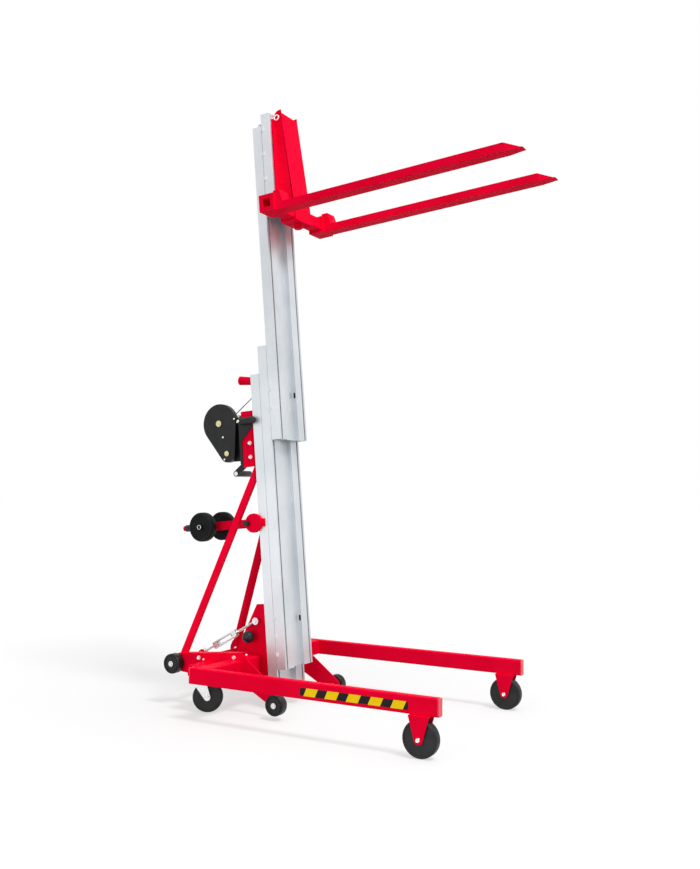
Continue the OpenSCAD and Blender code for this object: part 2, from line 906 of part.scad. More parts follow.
rear_lug_gap = buckle_rod_d / 2 + pass_gap;
lug_out = rear_lug_gap + gusset_t;
module rear_tube() {
  color(red)
    mast_frame()
      difference() {
        union() {
          translate([-rear_tube_back, 0, rear_tube_h])
            rod_y(rear_tube_d, -side_in, side_in);
          translate([0, -buckle_side, 0])
            both_sides()
              slab_y(rear_lug_gap, lug_out)
                tangent_outline([-rear_tube_back, rear_tube_h], rear_tube_d / 2,
                  [-buckle_rear_back, buckle_rear_h], buckle_eye_d / 2);
        }
        translate([-rear_tube_back, 0, rear_tube_h])
          rod_y(rear_tube_d - tube_wall - tube_wall, -side_in - cut, side_in + cut);
        translate([-buckle_rear_back, -buckle_side, buckle_rear_h])
          rod_y(buckle_pin_d + bolt_fit + bolt_fit, -lug_out - cut, lug_out + cut);
      }
}

module left_strut() {
  foot = [-strut_foot_back, strut_foot_spread / 2, side_top_h];
  head = [-strip_t, strut_head_spread / 2, strut_head_h];
  reach = norm(head - foot) + strut_side + strut_side;
  hole = strut_side - strut_wall - strut_wall;
  color(red)
    mast_frame()
      intersection() {
        along(foot, head)
          difference() {
            translate([-strut_side / 2, -strut_side / 2, -strut_side])
              cube([strut_side, strut_side, reach]);
            translate([-hole / 2, -hole / 2, -strut_side - cut])
              cube([hole, hole, reach + cut + cut]);
          }
        box([-rear_roller_back - strut_side, 0, side_top_h], [-strip_t, side_spread, bracket_low_h]);
      }
}

module right_strut() {
  mirror([0, 1, 0])
    left_strut();
}

// Outline of a foot gusset as shares of its reach and height.
gusset_shares = [[0, 0], [0, 1], [0.35, 1], [0.575, 0.817], [1, 0.477], [0.87, 0.17], [0.17, 0]];
gusset_in = gusset_spread / 2 - gusset_t / 2;
gusset_out = gusset_spread / 2 + gusset_t / 2;
module foot_gussets() {
  rise = gusset_top_h - gusset_low_h;
  color(red)
    difference() {
      mast_frame()
        both_sides()
          difference() {
            slab_y(gusset_in, gusset_out)
              polygon([for (s = gusset_shares) [-s.x * gusset_reach, gusset_low_h + s.y * rise]]);
            translate([-buckle_front_back, 0, buckle_front_h])
              rod_y(buckle_pin_d + bolt_fit + bolt_fit, gusset_in - cut, gusset_out + cut);
            translate([-lock_back, 0, lock_h])
              rod_y(lock_pin_d + run_fit + run_fit, gusset_in - cut, gusset_out + cut);
          }
      cross_block(seat_gap);
    }
}

module lock_pin() {
  inner = gusset_in - lock_pin_d - lock_pin_d;
  ball_y = gusset_out + lock_ball_d / 2 + lock_pin_d;
  color(black)
    mast_frame()
      translate([-lock_back, 0, lock_h]) {
        rod_y(lock_pin_d, -ball_y, -inner);
        translate([0, -ball_y, 0])
          sphere(d = lock_ball_d);
      }
}

module roller_at(side, place) {
  inner = side_out + roller_gap;
  color(black)
    mast_frame()
      translate([place.x, side * (inner + roller_w / 2), place.y])
        wheel(roller_d, roller_w, roller_bolt_d + run_fit + run_fit);
}

module rear_right_roller() {
  roller_at(-1, rear_roller);
}

module rear_left_roller() {
  roller_at(1, rear_roller);
}

module mid_right_roller() {
  roller_at(-1, mid_roller);
}

module mid_left_roller() {
  roller_at(1, mid_roller);
}

module axle_bolts() {
  roller_end = side_out + roller_gap + roller_w + seat_gap;
  color(zinc) {
    both_sides()
      translate([front_axle_x, leg_mid_y, front_axle_z])
        pin_bolt(front_axle_d, axle_head_d, axle_head_t, -fork_out, fork_out);
    mast_frame()
      both_sides()
        for (place = [rear_roller, mid_roller])
          translate([place.x, 0, place.y])
            pin_bolt(roller_bolt_d, axle_head_d, axle_head_t, side_in, roller_end);
    mast_frame()
      translate([sheave_at, 0, sheave_h])
        rod_y(sheave_pin_d, -recess_w / 2 - chamber_wall, recess_w / 2 + chamber_wall);
    mast_frame()
      translate([idler_pos.x, 0, idler_pos.y])
        rod_y(idler_pin_d, -gear_y - gear_t, -winch_in);
  }
}

// Turnbuckle between the rear tube and the foot gussets

buckle_rear = [-buckle_rear_back, -buckle_side, buckle_rear_h];
buckle_front = [-buckle_front_back, -buckle_side, buckle_front_h];
buckle_span = norm(buckle_front - buckle_rear);
// Body's place between the eyes, its end bosses and its side bars.
body_share = 0.39;
boss_share = 0.16;
bar_share = 0.24;
buckle_body_at = (buckle_span - buckle_len) * body_share;
buckle_boss = buckle_len * boss_share;
buckle_bar = buckle_w * bar_share;

module buckle_eye_end() {
  rotate([0, 0, 90])
    rotate([0, 90, 0])
      translate([0, 0, -buckle_rod_d / 2])
        difference() {
          cylinder(d = buckle_eye_d, h = buckle_rod_d);
          translate([0, 0, -cut])
            cylinder(d = buckle_pin_d + bolt_fit + bolt_fit, h = buckle_rod_d + cut + cut);
        }
}

module turnbuckle_eyes() {
  start = buckle_eye_d / 2 - tube_wall;
  bury = buckle_boss + buckle_rod_d;
  color(zinc)
    mast_frame() {
      along(buckle_rear, buckle_front) {
        buckle_eye_end();
        translate([0, 0, start])
          cylinder(d = buckle_rod_d, h = buckle_body_at + bury - start);
      }
      along(buckle_front, buckle_rear) {
        buckle_eye_end();
        translate([0, 0, start])
          cylinder(d = buckle_rod_d, h = buckle_span - buckle_body_at - buckle_len + bury - start);
      }
    }
}

module turnbuckle_body() {
  hole = buckle_rod_d + run_fit + run_fit;
  inner = buckle_w / 2 - buckle_bar;
  color(zinc)
    mast_frame()
      along(buckle_rear, buckle_front)
        translate([0, 0, buckle_body_at])
          difference() {
            intersection() {
              cylinder(d = buckle_w, h = buckle_len);
              translate([-buckle_w / 2, -buckle_rod_d, 0])
                cube([buckle_w, buckle_rod_d + buckle_rod_d, buckle_len]);
            }
            translate([-inner, -buckle_w, buckle_boss])
              cube([inner + inner, buckle_w + buckle_w, buckle_len - buckle_boss - buckle_boss]);
            translate([0, 0, -cut])
              cylinder(d = hole, h = buckle_len + cut + cut);
          }
}

// Mast sections

module section_outline() {
  chamber_deep = slot_floor - chamber_wall - chamber_wall;
  chamber_low = recess_w / 2 + chamber_wall;
  difference() {
    translate([0, -half_w])
      square([section_d, section_w]);
    translate([web_front, -recess_w / 2])
      square([recess_d + cut, recess_w]);
    translate([-cut, -recess_w / 2])
      square([web_back + cut, recess_w]);
    for (side = [-1, 1])
      translate([0, side * slot_y]) {
        translate([slot_floor, -slot_w / 2])
          square([slot_d, slot_w]);
        translate([section_d - slot_lip - cut, -slot_mouth / 2])
          square([slot_lip + cut + cut, slot_mouth]);
      }
    translate([chamber_wall, chamber_low])
      square([chamber_deep, half_w - chamber_wall - chamber_low]);
    translate([chamber_wall, chamber_wall - half_w])
      square([chamber_deep, half_w - chamber_wall - chamber_low]);
  }
}

// Oblong holes through the walls of the front recess.
module oblong_holes() {
  reach = recess_w / 2 + chamber_wall + cut;
  rise = oblong_h / 2 - oblong_w / 2;
  translate([web_front + recess_d / 2, 0, oblong_rise]) {
    box([-oblong_w / 2, -reach, -rise], [oblong_w / 2, reach, rise]);
    translate([0, 0, rise])
      rod_y(oblong_w, -reach, reach);
    translate([0, 0, -rise])
      rod_y(oblong_w, -reach, reach);
  }
}

module section(length) {
  linear_extrude(height = length)
    section_outline();
}

module fixed_mast() {
  slot_half = sheave_w / 2 + pass_gap;
  slot_rise = sheave_d / 2 + cable_d;
  pin_end = recess_w / 2 + chamber_wall + seat_gap;
  color(silver)
    mast_frame()
      difference() {
        translate([0, 0, mast_foot_h])
          difference() {
            section(section_len);
            oblong_holes();
          }
        box([web_back - cut, -slot_half, sheave_h - slot_rise],
          [web_front + cut, slot_half, sheave_h + slot_rise]);
        translate([sheave_at, 0, sheave_h])
          rod_y(sheave_pin_d + bolt_fit + bolt_fit, -pin_end, pin_end);
      }
}

// The second section's foot plate is lifted by the cable's end sleeve.
module stage_2() {
  half = recess_w / 2 - seat_gap;
  color(silver)
    mast_frame()
      translate([pitch, 0, stage_2_h]) {
        difference() {
          section(section_len);
          oblong_holes();
        }
        difference() {
          box([0, -half, 0], [web_back - seat_gap, half, web_t]);
          translate([cable_drop_d - pitch, 0, -cut])
            cylinder(d = cable_d + pass_gap + pass_gap, h = web_t + cut + cut);
        }
      }
}

module stage_3() {
  color(silver)
    mast_frame()
      translate([pitch + pitch, 0, stage_3_h])
        difference() {
          section(section_len);
          oblong_holes();
        }
}

module carriage_rail() {
  color(silver)
    mast_frame()
      translate([rail_back_d, 0, rail_h])
        section(rail_len);
}

// T-shaped shoes on a section's back, running in the slots of the section behind it.
module shoe() {
  head_w = slot_w / 2 - shoe_clear;
  neck_w = slot_mouth / 2 - shoe_clear;
  lip = section_gap + slot_lip + shoe_clear;
  deep = section_gap + slot_lip + slot_d - shoe_clear;
  box([-lip, slot_y - neck_w, 0], [0, slot_y + neck_w, shoe_len]);
  box([-deep, slot_y - head_w, 0], [-lip, slot_y + head_w, shoe_len]);
  box([0, half_w, (shoe_len - clip_h) / 2], [clip_w, half_w + clip_t, (shoe_len + clip_h) / 2]);
}

module shoes(first, step) {
  color(nylon)
    both_sides()
      for (place = [0, 1, 2])
        translate([0, 0, first + place * step - shoe_len / 2])
          shoe();
}

module stage_2_shoes() {
  mast_frame()
    translate([pitch, 0, stage_2_h])
      shoes(shoe_first, shoe_step);
}

module stage_3_shoes() {
  mast_frame()
    translate([pitch + pitch, 0, stage_3_h])
      shoes(shoe_first, shoe_step);
}

module carriage_shoes() {
  mast_frame()
    translate([rail_back_d, 0, rail_h])
      shoes(rail_shoe_first, rail_shoe_step);
}

// Sheave and lifting cable

module fixed_sheave() {
  half = sheave_w / 2;
  rim = sheave_d / 2;
  deep = sheave_groove_r - cable_d / 2 - seat_gap;
  bore = sheave_pin_d / 2 + run_fit;
  color(zinc)
    mast_frame()
      translate([sheave_at, 0, sheave_h])
        rotate([90, 0, 0])
          rotate_extrude()
            polygon([[bore, -half], [rim, -half], [deep, -cable_d / 2 - seat_gap],
              [deep, cable_d / 2 + seat_gap], [rim, half], [bore, half]]);
}

// A tube along a path near the plane across Y, with its own radius at each point.
ring_sides = 6;
rings_per_loop = 24;
function unit(v) = v / norm(v);
function path_way(path, i) = unit(path[min(i + 1, len(path) - 1)] - path[max(i - 1, 0)]);
function path_side(way) = unit(cross(way, [0, 1, 0]));
function ring(at, way, r) = let (side = path_side(way), other = cross(way, side))
  [for (j = [0 : ring_sides - 1]) let (a = j * full_turn / ring_sides)
    at + (side * cos(a) + other * sin(a)) * r];

module tube(path, radii) {
  last = len(path) - 1;
  points = [for (i = [0 : last]) each ring(path[i], path_way(path, i), radii[i])];
  faces = concat([[for (j = [ring_sides - 1 : -1 : 0]) j]],
    [for (i = [0 : last - 1]) for (j = [0 : ring_sides - 1])
      let (k = (j + 1) % ring_sides)
      [i * ring_sides + j, i * ring_sides + k, (i + 1) * ring_sides + k, (i + 1) * ring_sides + j]],
    [[for (j = [0 : ring_sides - 1]) last * ring_sides + j]]);
  polyhedron(points = points, faces = faces, convexity = 10);
}

module lift_cable() {
  way = [sheave_at + drum_back, sheave_h - drum_h];
  tilt = asin((run_r - sheave_groove_r) / norm(way));
  lead = atan2(way.y, way.x) - tilt + 90;
  leave = [drum_pos.x + run_r * cos(lead), cable_leave_side, drum_pos.y + run_r * sin(lead)];
  low = stage_2_h - pass_gap;
  sleeve = cable_d + cable_d;
  steps = rings_per_loop / 2;
  bend = [for (i = [0 : steps]) let (a = lead - lead * i / steps)
    [sheave_at + sheave_groove_r * cos(a), 0, sheave_h + sheave_groove_r * sin(a)]];
  path = concat([leave], bend, [[cable_drop_d, 0, low + cable_d], [cable_drop_d, 0, low],
    [cable_drop_d, 0, low - pass_gap], [cable_drop_d, 0, low - sleeve]]);
  thin = [for (i = [0 : steps + 3]) cable_d / 2];
  color(zinc)
    mast_frame()
      tube(path, concat(thin, [cable_d, cable_d]));
}

// Winch

module winch_outline(shrink) {
  tangent_outline(drum_pos, cover_r - shrink, crank_pos, cover_low_r - shrink);
}

module winch_side_outline(top_r) {
  low = crank_h - cover_low_r;
  tangent_outline(drum_pos, top_r, crank_pos, cover_low_r - cover_wall);
  polygon([[-drum_back, drum_h + cover_low_r / 2], [winch_base_d, drum_h + cover_low_r / 2],
    [winch_base_d, low], [-crank_back, low + cover_wall], [-drum_back, drum_h]]);
}

module winch_holes(low, high) {
  translate([drum_pos.x, 0, drum_pos.y])
    rod_y(drum_shaft_d + run_fit + run_fit, low, high);
  translate([crank_pos.x, 0, crank_pos.y])
    rod_y(crank_shaft_d + run_fit + run_fit, low, high);
}

// Winch bolts as shares of the bracket's depth, behind the mast and above the bracket's lower end.
bracket_bolt_shares = [[0.41, 0.65], [0.41, 1.59]];
bracket_bolts = [for (s = bracket_bolt_shares) [-bracket_d * s.x, bracket_low_h + bracket_d * s.y]];

module bracket_bolt_holes() {
  for (place = bracket_bolts)
    translate([place.x, 0, place.y])
      rod_y(bolt_d + bolt_fit + bolt_fit, -bracket_out - cut, bracket_out + cut);
}

// Outline of the frame's outer flank as shares of the bracket's depth and height.
flank_shares = [[1.2, 0.06], [1.2, 0.75], [1.07, 0.92], [0.03, 0.73], [1, 0.47], [1, 0.06]];

module lever_hole(low, high) {
  translate([-lever_back, 0, lever_h])
    rod_y(plunger_d + run_fit + run_fit, low, high);
}

module winch_frame() {
  low = bracket_low_h + bracket_t;
  top = drum_h + cover_low_r / 2;
  ear_top = low + bracket_d + bracket_d;
  rise = bracket_top_h - bracket_low_h;
  color(black)
    mast_frame()
      difference() {
        union() {
          slab_y(-winch_out, -winch_in)
            winch_side_outline(cover_r - cover_wall);
          slab_y(winch_in, winch_out)
            winch_side_outline(cover_low_r);
          both_sides()
            box([winch_base_d, ear_in, low], [-strip_t - bracket_t - seat_gap, bracket_in, ear_top]);
          box([winch_base_d, -flank_out, low], [-bracket_d, bracket_in, top]);
          slab_y(-flank_out, -bracket_out)
            polygon([for (s = flank_shares) [-bracket_d * s.x, bracket_low_h + rise * s.y]]);
        }
        winch_holes(-winch_out - cut, winch_out + cut);
        translate([idler_pos.x, 0, idler_pos.y])
          rod_y(idler_pin_d + bolt_fit + bolt_fit, -winch_out - cut, -winch_in + cut);
        bracket_bolt_holes();
        lever_hole(-flank_out - cut, cut - bracket_out);
      }
}

module winch_bracket() {
  bar_y = strut_head_spread / 2;
  color(red)
    mast_frame()
      difference() {
        union() {
          box([-bracket_d, -bracket_out, bracket_low_h], [-strip_t, bracket_out, bracket_top_h]);
          both_sides()
            box([-strip_t, bar_y - strip_w / 2, strut_head_h - strut_side - strut_side / 2],
              [0, bar_y + strip_w / 2, bracket_top_h]);
        }
        box([-bracket_d - cut, -bracket_in, bracket_low_h - cut],
          [-strip_t - bracket_t, bracket_in, bracket_top_h + cut]);
        bracket_bolt_holes();
        lever_hole(-bracket_out - cut, cut - bracket_in);
      }
}

module winch_cover() {
  front = winch_out + cover_depth;
  color(black)
    mast_frame()
      difference() {
        slab_y(-front, -winch_out)
          winch_outline(0);
        slab_y(-front + cover_wall, -winch_out + cut)
          winch_outline(cover_wall);
        translate([drum_pos.x, 0, drum_pos.y])
          rod_y(drum_shaft_d + pass_gap + pass_gap, -front - cut, -winch_out);
        translate([crank_pos.x, 0, crank_pos.y])
          rod_y(crank_shaft_d + pass_gap + pass_gap, -front - cut, -winch_out);
      }
}

module drum() {
  front = winch_out + cover_depth + pass_gap;
  hub_y = winch_out + pass_gap;
  color(zinc)
    mast_frame()
      translate([drum_pos.x, 0, drum_pos.y]) {
        rod_y(drum_core_d, -drum_half, drum_half);
        rod_y(drum_flange_d, -drum_half, winch_t - drum_half);
        rod_y(drum_flange_d, drum_half - winch_t, drum_half);
        rod_y(drum_shaft_d, -front, winch_out + winch_t);
        rod_y(drum_shaft_d + bolt_head_t, -front - axle_head_t, -front);
        rod_y(drum_shaft_d + bolt_head_t, hub_y, hub_y + winch_t);
      }
}

module drum_gear() {
  color(zinc)
    mast_frame()
      translate([drum_pos.x, 0, drum_pos.y])
        difference() {
          rod_y(drum_gear_r + drum_gear_r, -gear_y - gear_t, -gear_y);
          rod_y(drum_shaft_d + seat_gap + seat_gap, -gear_y - gear_t - cut, cut - gear_y);
        }
}

module idler_gear() {
  color(zinc)
    mast_frame()
      translate([idler_pos.x, 0, idler_pos.y])
        difference() {
          rod_y(idler_gear_r + idler_gear_r, -gear_y - gear_t, -gear_y);
          rod_y(idler_pin_d + run_fit + run_fit, -gear_y - gear_t - cut, cut - gear_y);
        }
}

module crank_shaft() {
  front = winch_out + cover_depth + pass_gap;
  color(zinc)
    mast_frame()
      translate([crank_pos.x, 0, crank_pos.y]) {
        rod_y(crank_shaft_d, -front, crank_y);
        rod_y(crank_shaft_d + bolt_head_t, -front - axle_head_t, -front);
        rod_y(pinion_r + pinion_r, -gear_y - gear_t, -gear_y);
      }
}

module crank_turn() {
  mast_frame()
    translate([crank_pos.x, crank_y, crank_pos.y])
      rotate([0, -crank_angle, 0])
        children();
}

module crank_arm() {
  half = crank_arm_w / 2;
  color(black)
    crank_turn() {
      slab_y(0, crank_arm_t)
        tangent_outline([0, 0], half, [crank_reach, 0], half);
      translate([crank_reach, 0, 0])
        rod_y(grip_pin_d, 0, grip_len);
    }
}

module crank_grip() {
  low = crank_arm_t + pass_gap;
  color(black)
    crank_turn()
      translate([crank_reach, 0, 0])
        difference() {
          rod_y(grip_d, low, low + grip_len);
          rod_y(grip_pin_d + run_fit + run_fit, low - cut, grip_len + pass_gap);
        }
}

module winch_lever() {
  axis_y = bracket_out + fork_gap + fork_gap + lever_d / 2;
  color(black)
    mast_frame()
      translate([-lever_back, -axis_y, lever_h]) {
        rod_x(lever_d, 0, lever_len - lever_d / 2);
        sphere(d = lever_d);
        translate([lever_len - lever_d / 2, 0, 0])
          sphere(d = lever_d);
        rod_y(plunger_d, 0, axis_y - bracket_in);
        rod_y(plunger_knob_d, 0, axis_y - flank_out - pass_gap);
      }
}

// One unbroken tube round the drum's core, with straight ends one tube diameter long.
ring_steps = loop_count * rings_per_loop;
function loop_point(i) = let (a = i * full_turn / rings_per_loop)
  [loop_r * cos(a), loops_end_y - i * loop_pitch / rings_per_loop, loop_r * sin(a)];
function loop_way(i) = let (a = i * full_turn / rings_per_loop) [-sin(a), 0, cos(a)];
loop_path = concat([loop_point(0) - loop_way(0) * cable_d], [for (i = [0 : ring_steps]) loop_point(i)],
  [loop_point(ring_steps) + loop_way(ring_steps) * cable_d]);
one_loop = [0 : rings_per_loop];
least_gap = min([for (i = one_loop) norm(loop_point(i) - loop_point(i + rings_per_loop))]) - cable_d;
echo(least_gap_between_loops = least_gap);

module cable_winding() {
  color(zinc)
    mast_frame()
      translate([drum_pos.x, 0, drum_pos.y])
        tube(loop_path, [for (point = loop_path) cable_d / 2]);
}

// Carriage, crossbar and forks

module plate_side_outline() {
  rise = plate_top_h + plate_ear;
  polygon(concat([[rail_front_d, plate_low_h], [rail_front_d + plate_low_d, plate_low_h],
    [rail_front_d + plate_top_d, plate_top_h], [rail_front_d + plate_top_d, rise]],
    arc([rail_front_d + plate_round, rise - plate_round], plate_round, 90, 180)));
}

module carriage_plate() {
  side = plate_w / 2;
  window = bar_half + bar_clear;
  color(red)
    mast_frame()
      difference() {
        union() {
          both_sides() {
            slab_y(side - plate_t, side)
              plate_side_outline();
            box([rail_front_d, side - plate_t, rail_h],
              [rail_front_d + plate_t, side + plate_flange_w, rail_top_h - plate_flange_w]);
          }
          slab_y(plate_t - side, side - plate_t)
            polygon([[rail_front_d + plate_low_d - plate_t, plate_low_h],
              [rail_front_d + plate_low_d, plate_low_h], [rail_front_d + plate_top_d, plate_top_h],
              [rail_front_d + plate_top_d - plate_t, plate_top_h]]);
          box([rail_front_d, -side, plate_low_h],
            [rail_front_d + plate_low_d - plate_t, side, plate_low_h + plate_t]);
        }
        box([bar_d - window, -side - cut, bar_h - window],
          [bar_d + window, side + cut, bar_h + window]);
        translate([bar_d, 0, plate_low_h - cut])
          cylinder(d = clamp_screw_d + run_fit + run_fit, h = plate_t + cut + cut);
      }
}

module cable_ring() {
  out = ring_d / 2 + ring_wire;
  ring_h = rail_top_h - ring_d;
  color(zinc)
    mast_frame()
      translate([rail_front_d, -ring_side, ring_h]) {
        translate([out + ring_wire, 0, 0])
          rotate([90, 0, 0])
            rotate_extrude()
              translate([ring_d / 2, 0])
                circle(d = ring_wire);
        rod_x(ring_wire, 0, ring_wire + ring_wire);
      }
}

module crossbar() {
  hole = bar_half - bar_wall;
  color(red)
    mast_frame()
      difference() {
        slab_y(-bar_len / 2, bar_len / 2)
          rounded([bar_d - bar_half, bar_h - bar_half], [bar_d + bar_half, bar_h + bar_half], tube_corner);
        box([bar_d - hole, -bar_len / 2 - cut, bar_h - hole],
          [bar_d + hole, bar_len / 2 + cut, bar_h + hole]);
      }
}

module clamp_knob() {
  top = bar_h - bar_half - pass_gap;
  knob_top = plate_low_h - pass_gap;
  color(black)
    mast_frame()
      translate([bar_d, 0, 0]) {
        translate([0, 0, knob_top])
          cylinder(d = clamp_screw_d, h = top - knob_top);
        translate([0, 0, knob_top - clamp_knob_h])
          cylinder(d = clamp_knob_d, h = clamp_knob_h);
      }
}

module fork_tube_outline() {
  top = fork_low_h + fork_h;
  slope = fork_tip_d - tip_len;
  polygon([[sleeve_front_d, fork_low_h], [fork_tip_d, fork_low_h], [fork_tip_d, fork_low_h + nose_t],
    [slope, top], [sleeve_front_d, top]]);
}

module left_fork() {
  half = fork_w / 2;
  window = bar_half + sleeve_clear;
  top = fork_low_h + fork_h;
  slope = fork_tip_d - tip_len;
  color(red)
    mast_frame()
      difference() {
        union() {
          box([bar_d - sleeve_half, sleeve_in_y, bar_h - sleeve_half],
            [sleeve_front_d, sleeve_out_y, bar_h + sleeve_half]);
          slab_y(sleeve_mid_y - half, sleeve_mid_y + half) {
            fork_tube_outline();
            polygon([[sleeve_front_d, top], [sleeve_front_d + heel_t + heel_over, top],
              [sleeve_front_d + heel_t, bar_h + sleeve_half + heel_over],
              [bar_d + bar_half, bar_h + sleeve_half + heel_over],
              [bar_d + bar_half, bar_h + sleeve_half], [sleeve_front_d, bar_h + sleeve_half]]);
          }
          slab_y(sleeve_mid_y - half + tip_narrow, sleeve_mid_y + half - tip_narrow)
            polygon([[fork_tip_d, fork_low_h], [fork_tip_d + nose_lip, fork_low_h],
              [fork_tip_d + nose_lip, fork_low_h + nose_t / 2], [fork_tip_d, fork_low_h + nose_t]]);
        }
        box([bar_d - window, sleeve_in_y - cut, bar_h - window],
          [bar_d + window, sleeve_out_y + cut, bar_h + window]);
        slab_y(sleeve_mid_y - half + tube_wall, sleeve_mid_y + half - tube_wall)
          polygon([[sleeve_front_d + heel_t, fork_low_h + tube_wall], [slope, fork_low_h + tube_wall],
            [slope, top - tube_wall], [sleeve_front_d + heel_t, top - tube_wall]]);
        translate([0, 0, fork_low_h - cut])
          linear_extrude(height = fork_h + cut + cut)
            for (side = [-1, 1])
              translate([0, sleeve_mid_y + side * half])
                polygon([[slope, side * cut], [fork_tip_d + cut, side * cut],
                  [fork_tip_d + cut, -side * tip_narrow]]);
      }
}

module right_fork() {
  mirror([0, 1, 0])
    left_fork();
}

// Transport arm

module arm_bracket() {
  lug_low = half_w + pass_gap;
  lug_high = lug_low + plate_t;
  tab = pivot_tube_d + pivot_tube_d;
  far_low = arm_half + pivot_tube_d;
  eye = pivot_tube_d / 2;
  color(red)
    mast_frame()
      translate([0, 0, arm_h])
        difference() {
          union() {
            slab_y(-lug_high, -half_w) {
              translate([-arm_pivot_back, 0])
                circle(d = disc_d);
              translate([-arm_pivot_back, -eye])
                square([arm_pivot_back + section_d - clip_w, tab / 2]);
            }
            slab_y(far_low, far_low + plate_t) {
              translate([-arm_pivot_back, 0])
                circle(r = eye);
              translate([-arm_pivot_back, -eye])
                square([arm_pivot_back, tab / 2]);
            }
            box([-plate_t, far_low, -tab / 2], [0, half_w, tab / 2]);
          }
          translate([-arm_pivot_back, 0, 0])
            rod_y(pivot_pin_d + run_fit + run_fit, -lug_high - cut, half_w);
          translate([-arm_pivot_back - plunger_offset, 0, 0])
            rod_y(plunger_d + pass_gap, -lug_high - cut, -half_w + cut);
        }
}

module transport_arm() {
  far_low = arm_half + pivot_tube_d;
  wheel_in = arm_wheel_spread / 2 - arm_wheel_w / 2;
  wheel_out = arm_wheel_spread / 2 + arm_wheel_w / 2;
  hole_h = arm_tube_h - tube_wall - tube_wall;
  hole_w = arm_tube_w - tube_wall - tube_wall;
  tube_end = arm_axle_back + arm_tube_h;
  color(red)
    mast_frame()
      translate([0, 0, arm_h]) {
        difference() {
          union() {
            translate([-arm_pivot_back, 0, 0])
              rod_y(pivot_tube_d, -half_w + pass_gap, far_low - pass_gap);
            box([-tube_end, -arm_half, -arm_tube_h / 2], [-arm_pivot_back, arm_half, arm_tube_h / 2]);
            rod_x(handle_d, -handle_back, -tube_end);
            translate([-arm_axle_back, 0, 0])
              rod_y(arm_axle_d, -wheel_out - seat_gap, wheel_out + seat_gap);
          }
          box([-arm_axle_back + arm_axle_d, -hole_w / 2, -hole_h / 2],
            [-arm_pivot_back - pivot_tube_d, hole_w / 2, hole_h / 2]);
        }
        translate([-arm_axle_back, 0, 0])
          both_sides() {
            rod_y(arm_axle_d + axle_head_t, arm_half, wheel_in - seat_gap);
            rod_y(arm_axle_d + axle_head_t, wheel_out + seat_gap,
              wheel_out + seat_gap + axle_head_t);
          }
        translate([-arm_pivot_back, 0, 0]) {
          rod_y(pivot_pin_d, -disc_y - disc_t, far_low + plate_t + plate_t);
          difference() {
            rod_y(disc_d, -disc_y - disc_t, -disc_y);
            translate([-plunger_offset, 0, 0])
              rod_y(plunger_d + run_fit + run_fit, -disc_y - disc_t - cut, cut - disc_y);
          }
        }
      }
}

module arm_grip() {
  rear = -handle_back + handle_d / 2;
  color(black)
    mast_frame()
      translate([0, 0, arm_h])
        difference() {
          rod_x(handle_grip_d, rear, rear + handle_grip_len);
          rod_x(handle_d + seat_gap + seat_gap, rear - cut, rear + handle_grip_len + cut);
        }
}

module arm_wheel(side) {
  color(black)
    mast_frame()
      translate([-arm_axle_back, side * arm_wheel_spread / 2, arm_h])
        wheel(arm_wheel_d, arm_wheel_w, arm_axle_d + run_fit + run_fit);
}

module right_arm_wheel() {
  arm_wheel(-1);
}

module left_arm_wheel() {
  arm_wheel(1);
}

module arm_plunger() {
  inner = disc_y - fork_gap / 2;
  outer = disc_y + disc_t + pass_gap;
  color(black)
    mast_frame()
      translate([-arm_pivot_back - plunger_offset, 0, arm_h]) {
        rod_y(plunger_d, -outer, -inner);
        rod_y(plunger_knob_d, -outer - plunger_knob_d, -outer);
      }
}

module rest_stud() {
  color(red)
    mast_frame()
      translate([0, -stud_side, mast_top_h - stud_below])
        difference() {
          rotate([0, stud_tilt - 90, 0])
            translate([0, 0, -stud_d])
              cylinder(d1 = stud_d, d2 = stud_end_d, h = stud_d + stud_reach);
          box([0, -stud_d, -stud_d], [stud_d + stud_d, stud_d, stud_d]);
        }
}

module frame_bolts() {
  eye_in = buckle_side - buckle_rod_d / 2 - seat_gap;
  eye_out = buckle_side + buckle_rod_d / 2 + seat_gap;
  color(zinc)
    mast_frame() {
      both_sides() {
        for (place = side_bolts)
          translate([place.x, 0, place.y]) {
            rod_y(bolt_d, side_in, side_out);
            rod_y(bolt_head_d, side_out, side_out + bolt_head_t);
          }
        for (place = bracket_bolts)
          translate([place.x, 0, place.y])
            pin_bolt(bolt_d, bolt_head_d, bolt_head_t, ear_in, bracket_out);
      }
      translate([-buckle_front_back, 0, buckle_front_h]) {
        pin_bolt(buckle_pin_d, bolt_head_d, bolt_head_t, -eye_out, -gusset_in);
        rod_y(bolt_head_d, -eye_in, -gusset_out);
      }
      translate([-buckle_rear_back, -buckle_side, buckle_rear_h])
        pin_bolt(buckle_pin_d, bolt_head_d, bolt_head_t, -lug_out, lug_out);
    }
}

right_leg();
left_leg();
leg_caps();
cross_member();
wheel_forks();
right_side_plate();
left_side_plate();
rear_tube();
right_strut();
left_strut();
foot_gussets();
caster_brackets();
fixed_mast();
winch_bracket();
winch_frame();
winch_cover();
lift_cable();
rest_stud();
arm_bracket();
turnbuckle_eyes();
axle_bolts();
frame_bolts();
right_front_wheel();
left_front_wheel();
right_caster_fork();
left_caster_fork();
right_caster_wheel();
left_caster_wheel();
rear_right_roller();
rear_left_roller();
mid_right_roller();
mid_left_roller();
fixed_sheave();
stage_2();
stage_2_shoes();
stage_3();
stage_3_shoes();
carriage_rail();
carriage_shoes();
carriage_plate();
cable_ring();
crossbar();
clamp_knob();
right_fork();
left_fork();
drum();
cable_winding();
drum_gear();
idler_gear();
crank_shaft();
crank_arm();
crank_grip();
winch_lever();
lock_pin();
turnbuckle_body();
transport_arm();
right_arm_wheel();
left_arm_wheel();
arm_grip();
arm_plunger();
